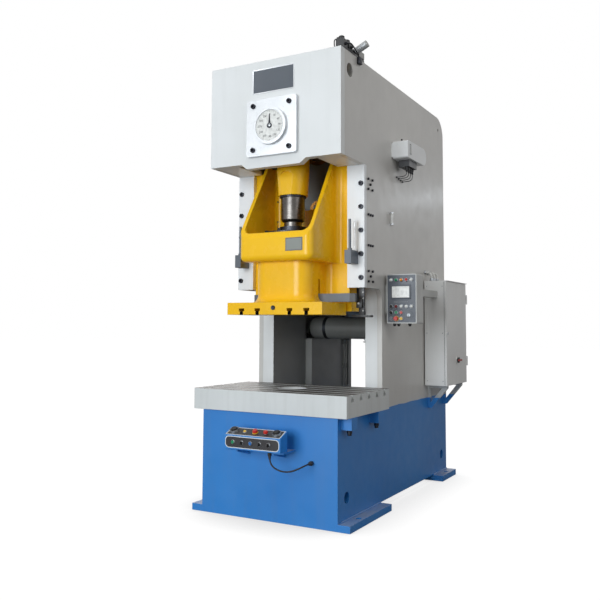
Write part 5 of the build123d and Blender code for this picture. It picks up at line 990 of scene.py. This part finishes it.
# Floor: white to the camera, with a soft shade where the machine stands
floorLook = {"reach": 0.55, "shade": (0.62, 0.62, 0.63, 1.0), "open": (1.04, 1.04, 1.04, 1.0),
             "tone": (0.32, 0.32, 0.32, 1), "half": 40}
floorMat, floorTree, floorShader = newMat("floorMat")[:3]
floorShader.inputs["Base Color"].default_value = floorLook["tone"]
floorShader.inputs["Roughness"].default_value = 0.9
floorShader.inputs["Specular IOR Level"].default_value = 0.1
nearness = floorTree.nodes.new("ShaderNodeAmbientOcclusion")
nearness.samples = 12
nearness.inputs["Distance"].default_value = floorLook["reach"]
openness = spread(floorTree, nearness.outputs["AO"], 0.25, 0.93, 0.0, 1.0)
glow = floorTree.nodes.new("ShaderNodeEmission")
floorTree.links.new(blendColor(floorTree, openness, floorLook["shade"], floorLook["open"]),
                    glow.inputs["Color"])
rays = floorTree.nodes.new("ShaderNodeLightPath")
seen = floorTree.nodes.new("ShaderNodeMixShader")
floorTree.links.new(rays.outputs["Is Camera Ray"], seen.inputs[0])
floorTree.links.new(floorShader.outputs[0], seen.inputs[1])
floorTree.links.new(glow.outputs[0], seen.inputs[2])
floorTree.links.new(seen.outputs[0], [n for n in floorTree.nodes if n.type == "OUTPUT_MATERIAL"][0].inputs[0])
bm = bmesh.new()
bmesh.ops.create_grid(bm, x_segments=1, y_segments=1, size=floorLook["half"])
floorMesh = bpy.data.meshes.new("floor")
bm.to_mesh(floorMesh)
bm.free()
floorMesh.materials.append(floorMat)
floor = bpy.data.objects.new("floor", floorMesh)
bpy.context.scene.collection.objects.link(floor)

# Lights: a wide cool key in front, weak ones beside, above and behind, and a strip for the side's streak
lights = {"key": ((-1.0, -11.6, 2.9), (0, -0.3, 1.8), (6.0, 6.0), 860, (0.89, 0.95, 1.0)),
          "side": ((7.0, -2.6, 4.6), (0.3, 0, 1.8), (4.0, 4.0), 75, (0.97, 0.98, 1.0)),
          "top": ((0.5, -2.5, 8.0), (0, 0, 1.5), (4.0, 4.0), 90, (1.0, 0.98, 0.95)),
          "back": ((-4.0, 6.5, 5.0), (0, 0, 1.8), (4.0, 4.0), 150, (1.0, 1.0, 1.0)),
          "strip": ((3.45, 8.3, 3.87), (0.55, 0.3, 2.43), (1.3, 0.16), 6, (0.86, 0.93, 1.0))}
for name, (place, aim, size, power, color) in lights.items():
    data = bpy.data.lights.new(name, "AREA")
    data.shape = "RECTANGLE"
    data.size, data.size_y = size
    data.energy = power
    data.color = color
    lamp = bpy.data.objects.new(name, data)
    lamp.location = place
    lamp.rotation_euler = (Vector(aim) - Vector(place)).to_track_quat("-Z", "Y").to_euler()
    bpy.context.scene.collection.objects.link(lamp)

# Surround: white to the camera and in clear glass, somewhat dimmer in reflections, dim to the rest
surroundLook = {"plain": (1.0, 0.99, 0.98, 1), "strength": 0.26, "white": (1, 1, 1, 1), "mirrored": 0.7}
world = bpy.data.worlds.new("surround")
bpy.context.scene.world = world
world.use_nodes = True
worldTree = world.node_tree
worldTree.nodes.clear()
worldOut = worldTree.nodes.new("ShaderNodeOutputWorld")
plain = worldTree.nodes.new("ShaderNodeBackground")
plain.inputs["Color"].default_value = surroundLook["plain"]
plain.inputs["Strength"].default_value = surroundLook["strength"]
bright = worldTree.nodes.new("ShaderNodeBackground")
bright.inputs["Color"].default_value = surroundLook["white"]
worldMix = worldTree.nodes.new("ShaderNodeMixShader")
worldRays = worldTree.nodes.new("ShaderNodeLightPath")
clearRays = calc(worldTree, "MAXIMUM", worldRays.outputs["Is Camera Ray"],
                 worldRays.outputs["Is Transmission Ray"])
glossyRays = calc(worldTree, "MULTIPLY", worldRays.outputs["Is Glossy Ray"], surroundLook["mirrored"])
shownRays = calc(worldTree, "MAXIMUM", clearRays, glossyRays)
worldTree.links.new(shownRays, worldMix.inputs[0])
worldTree.links.new(plain.outputs[0], worldMix.inputs[1])
worldTree.links.new(bright.outputs[0], worldMix.inputs[2])
worldTree.links.new(worldMix.outputs[0], worldOut.inputs[0])
print("stage set")
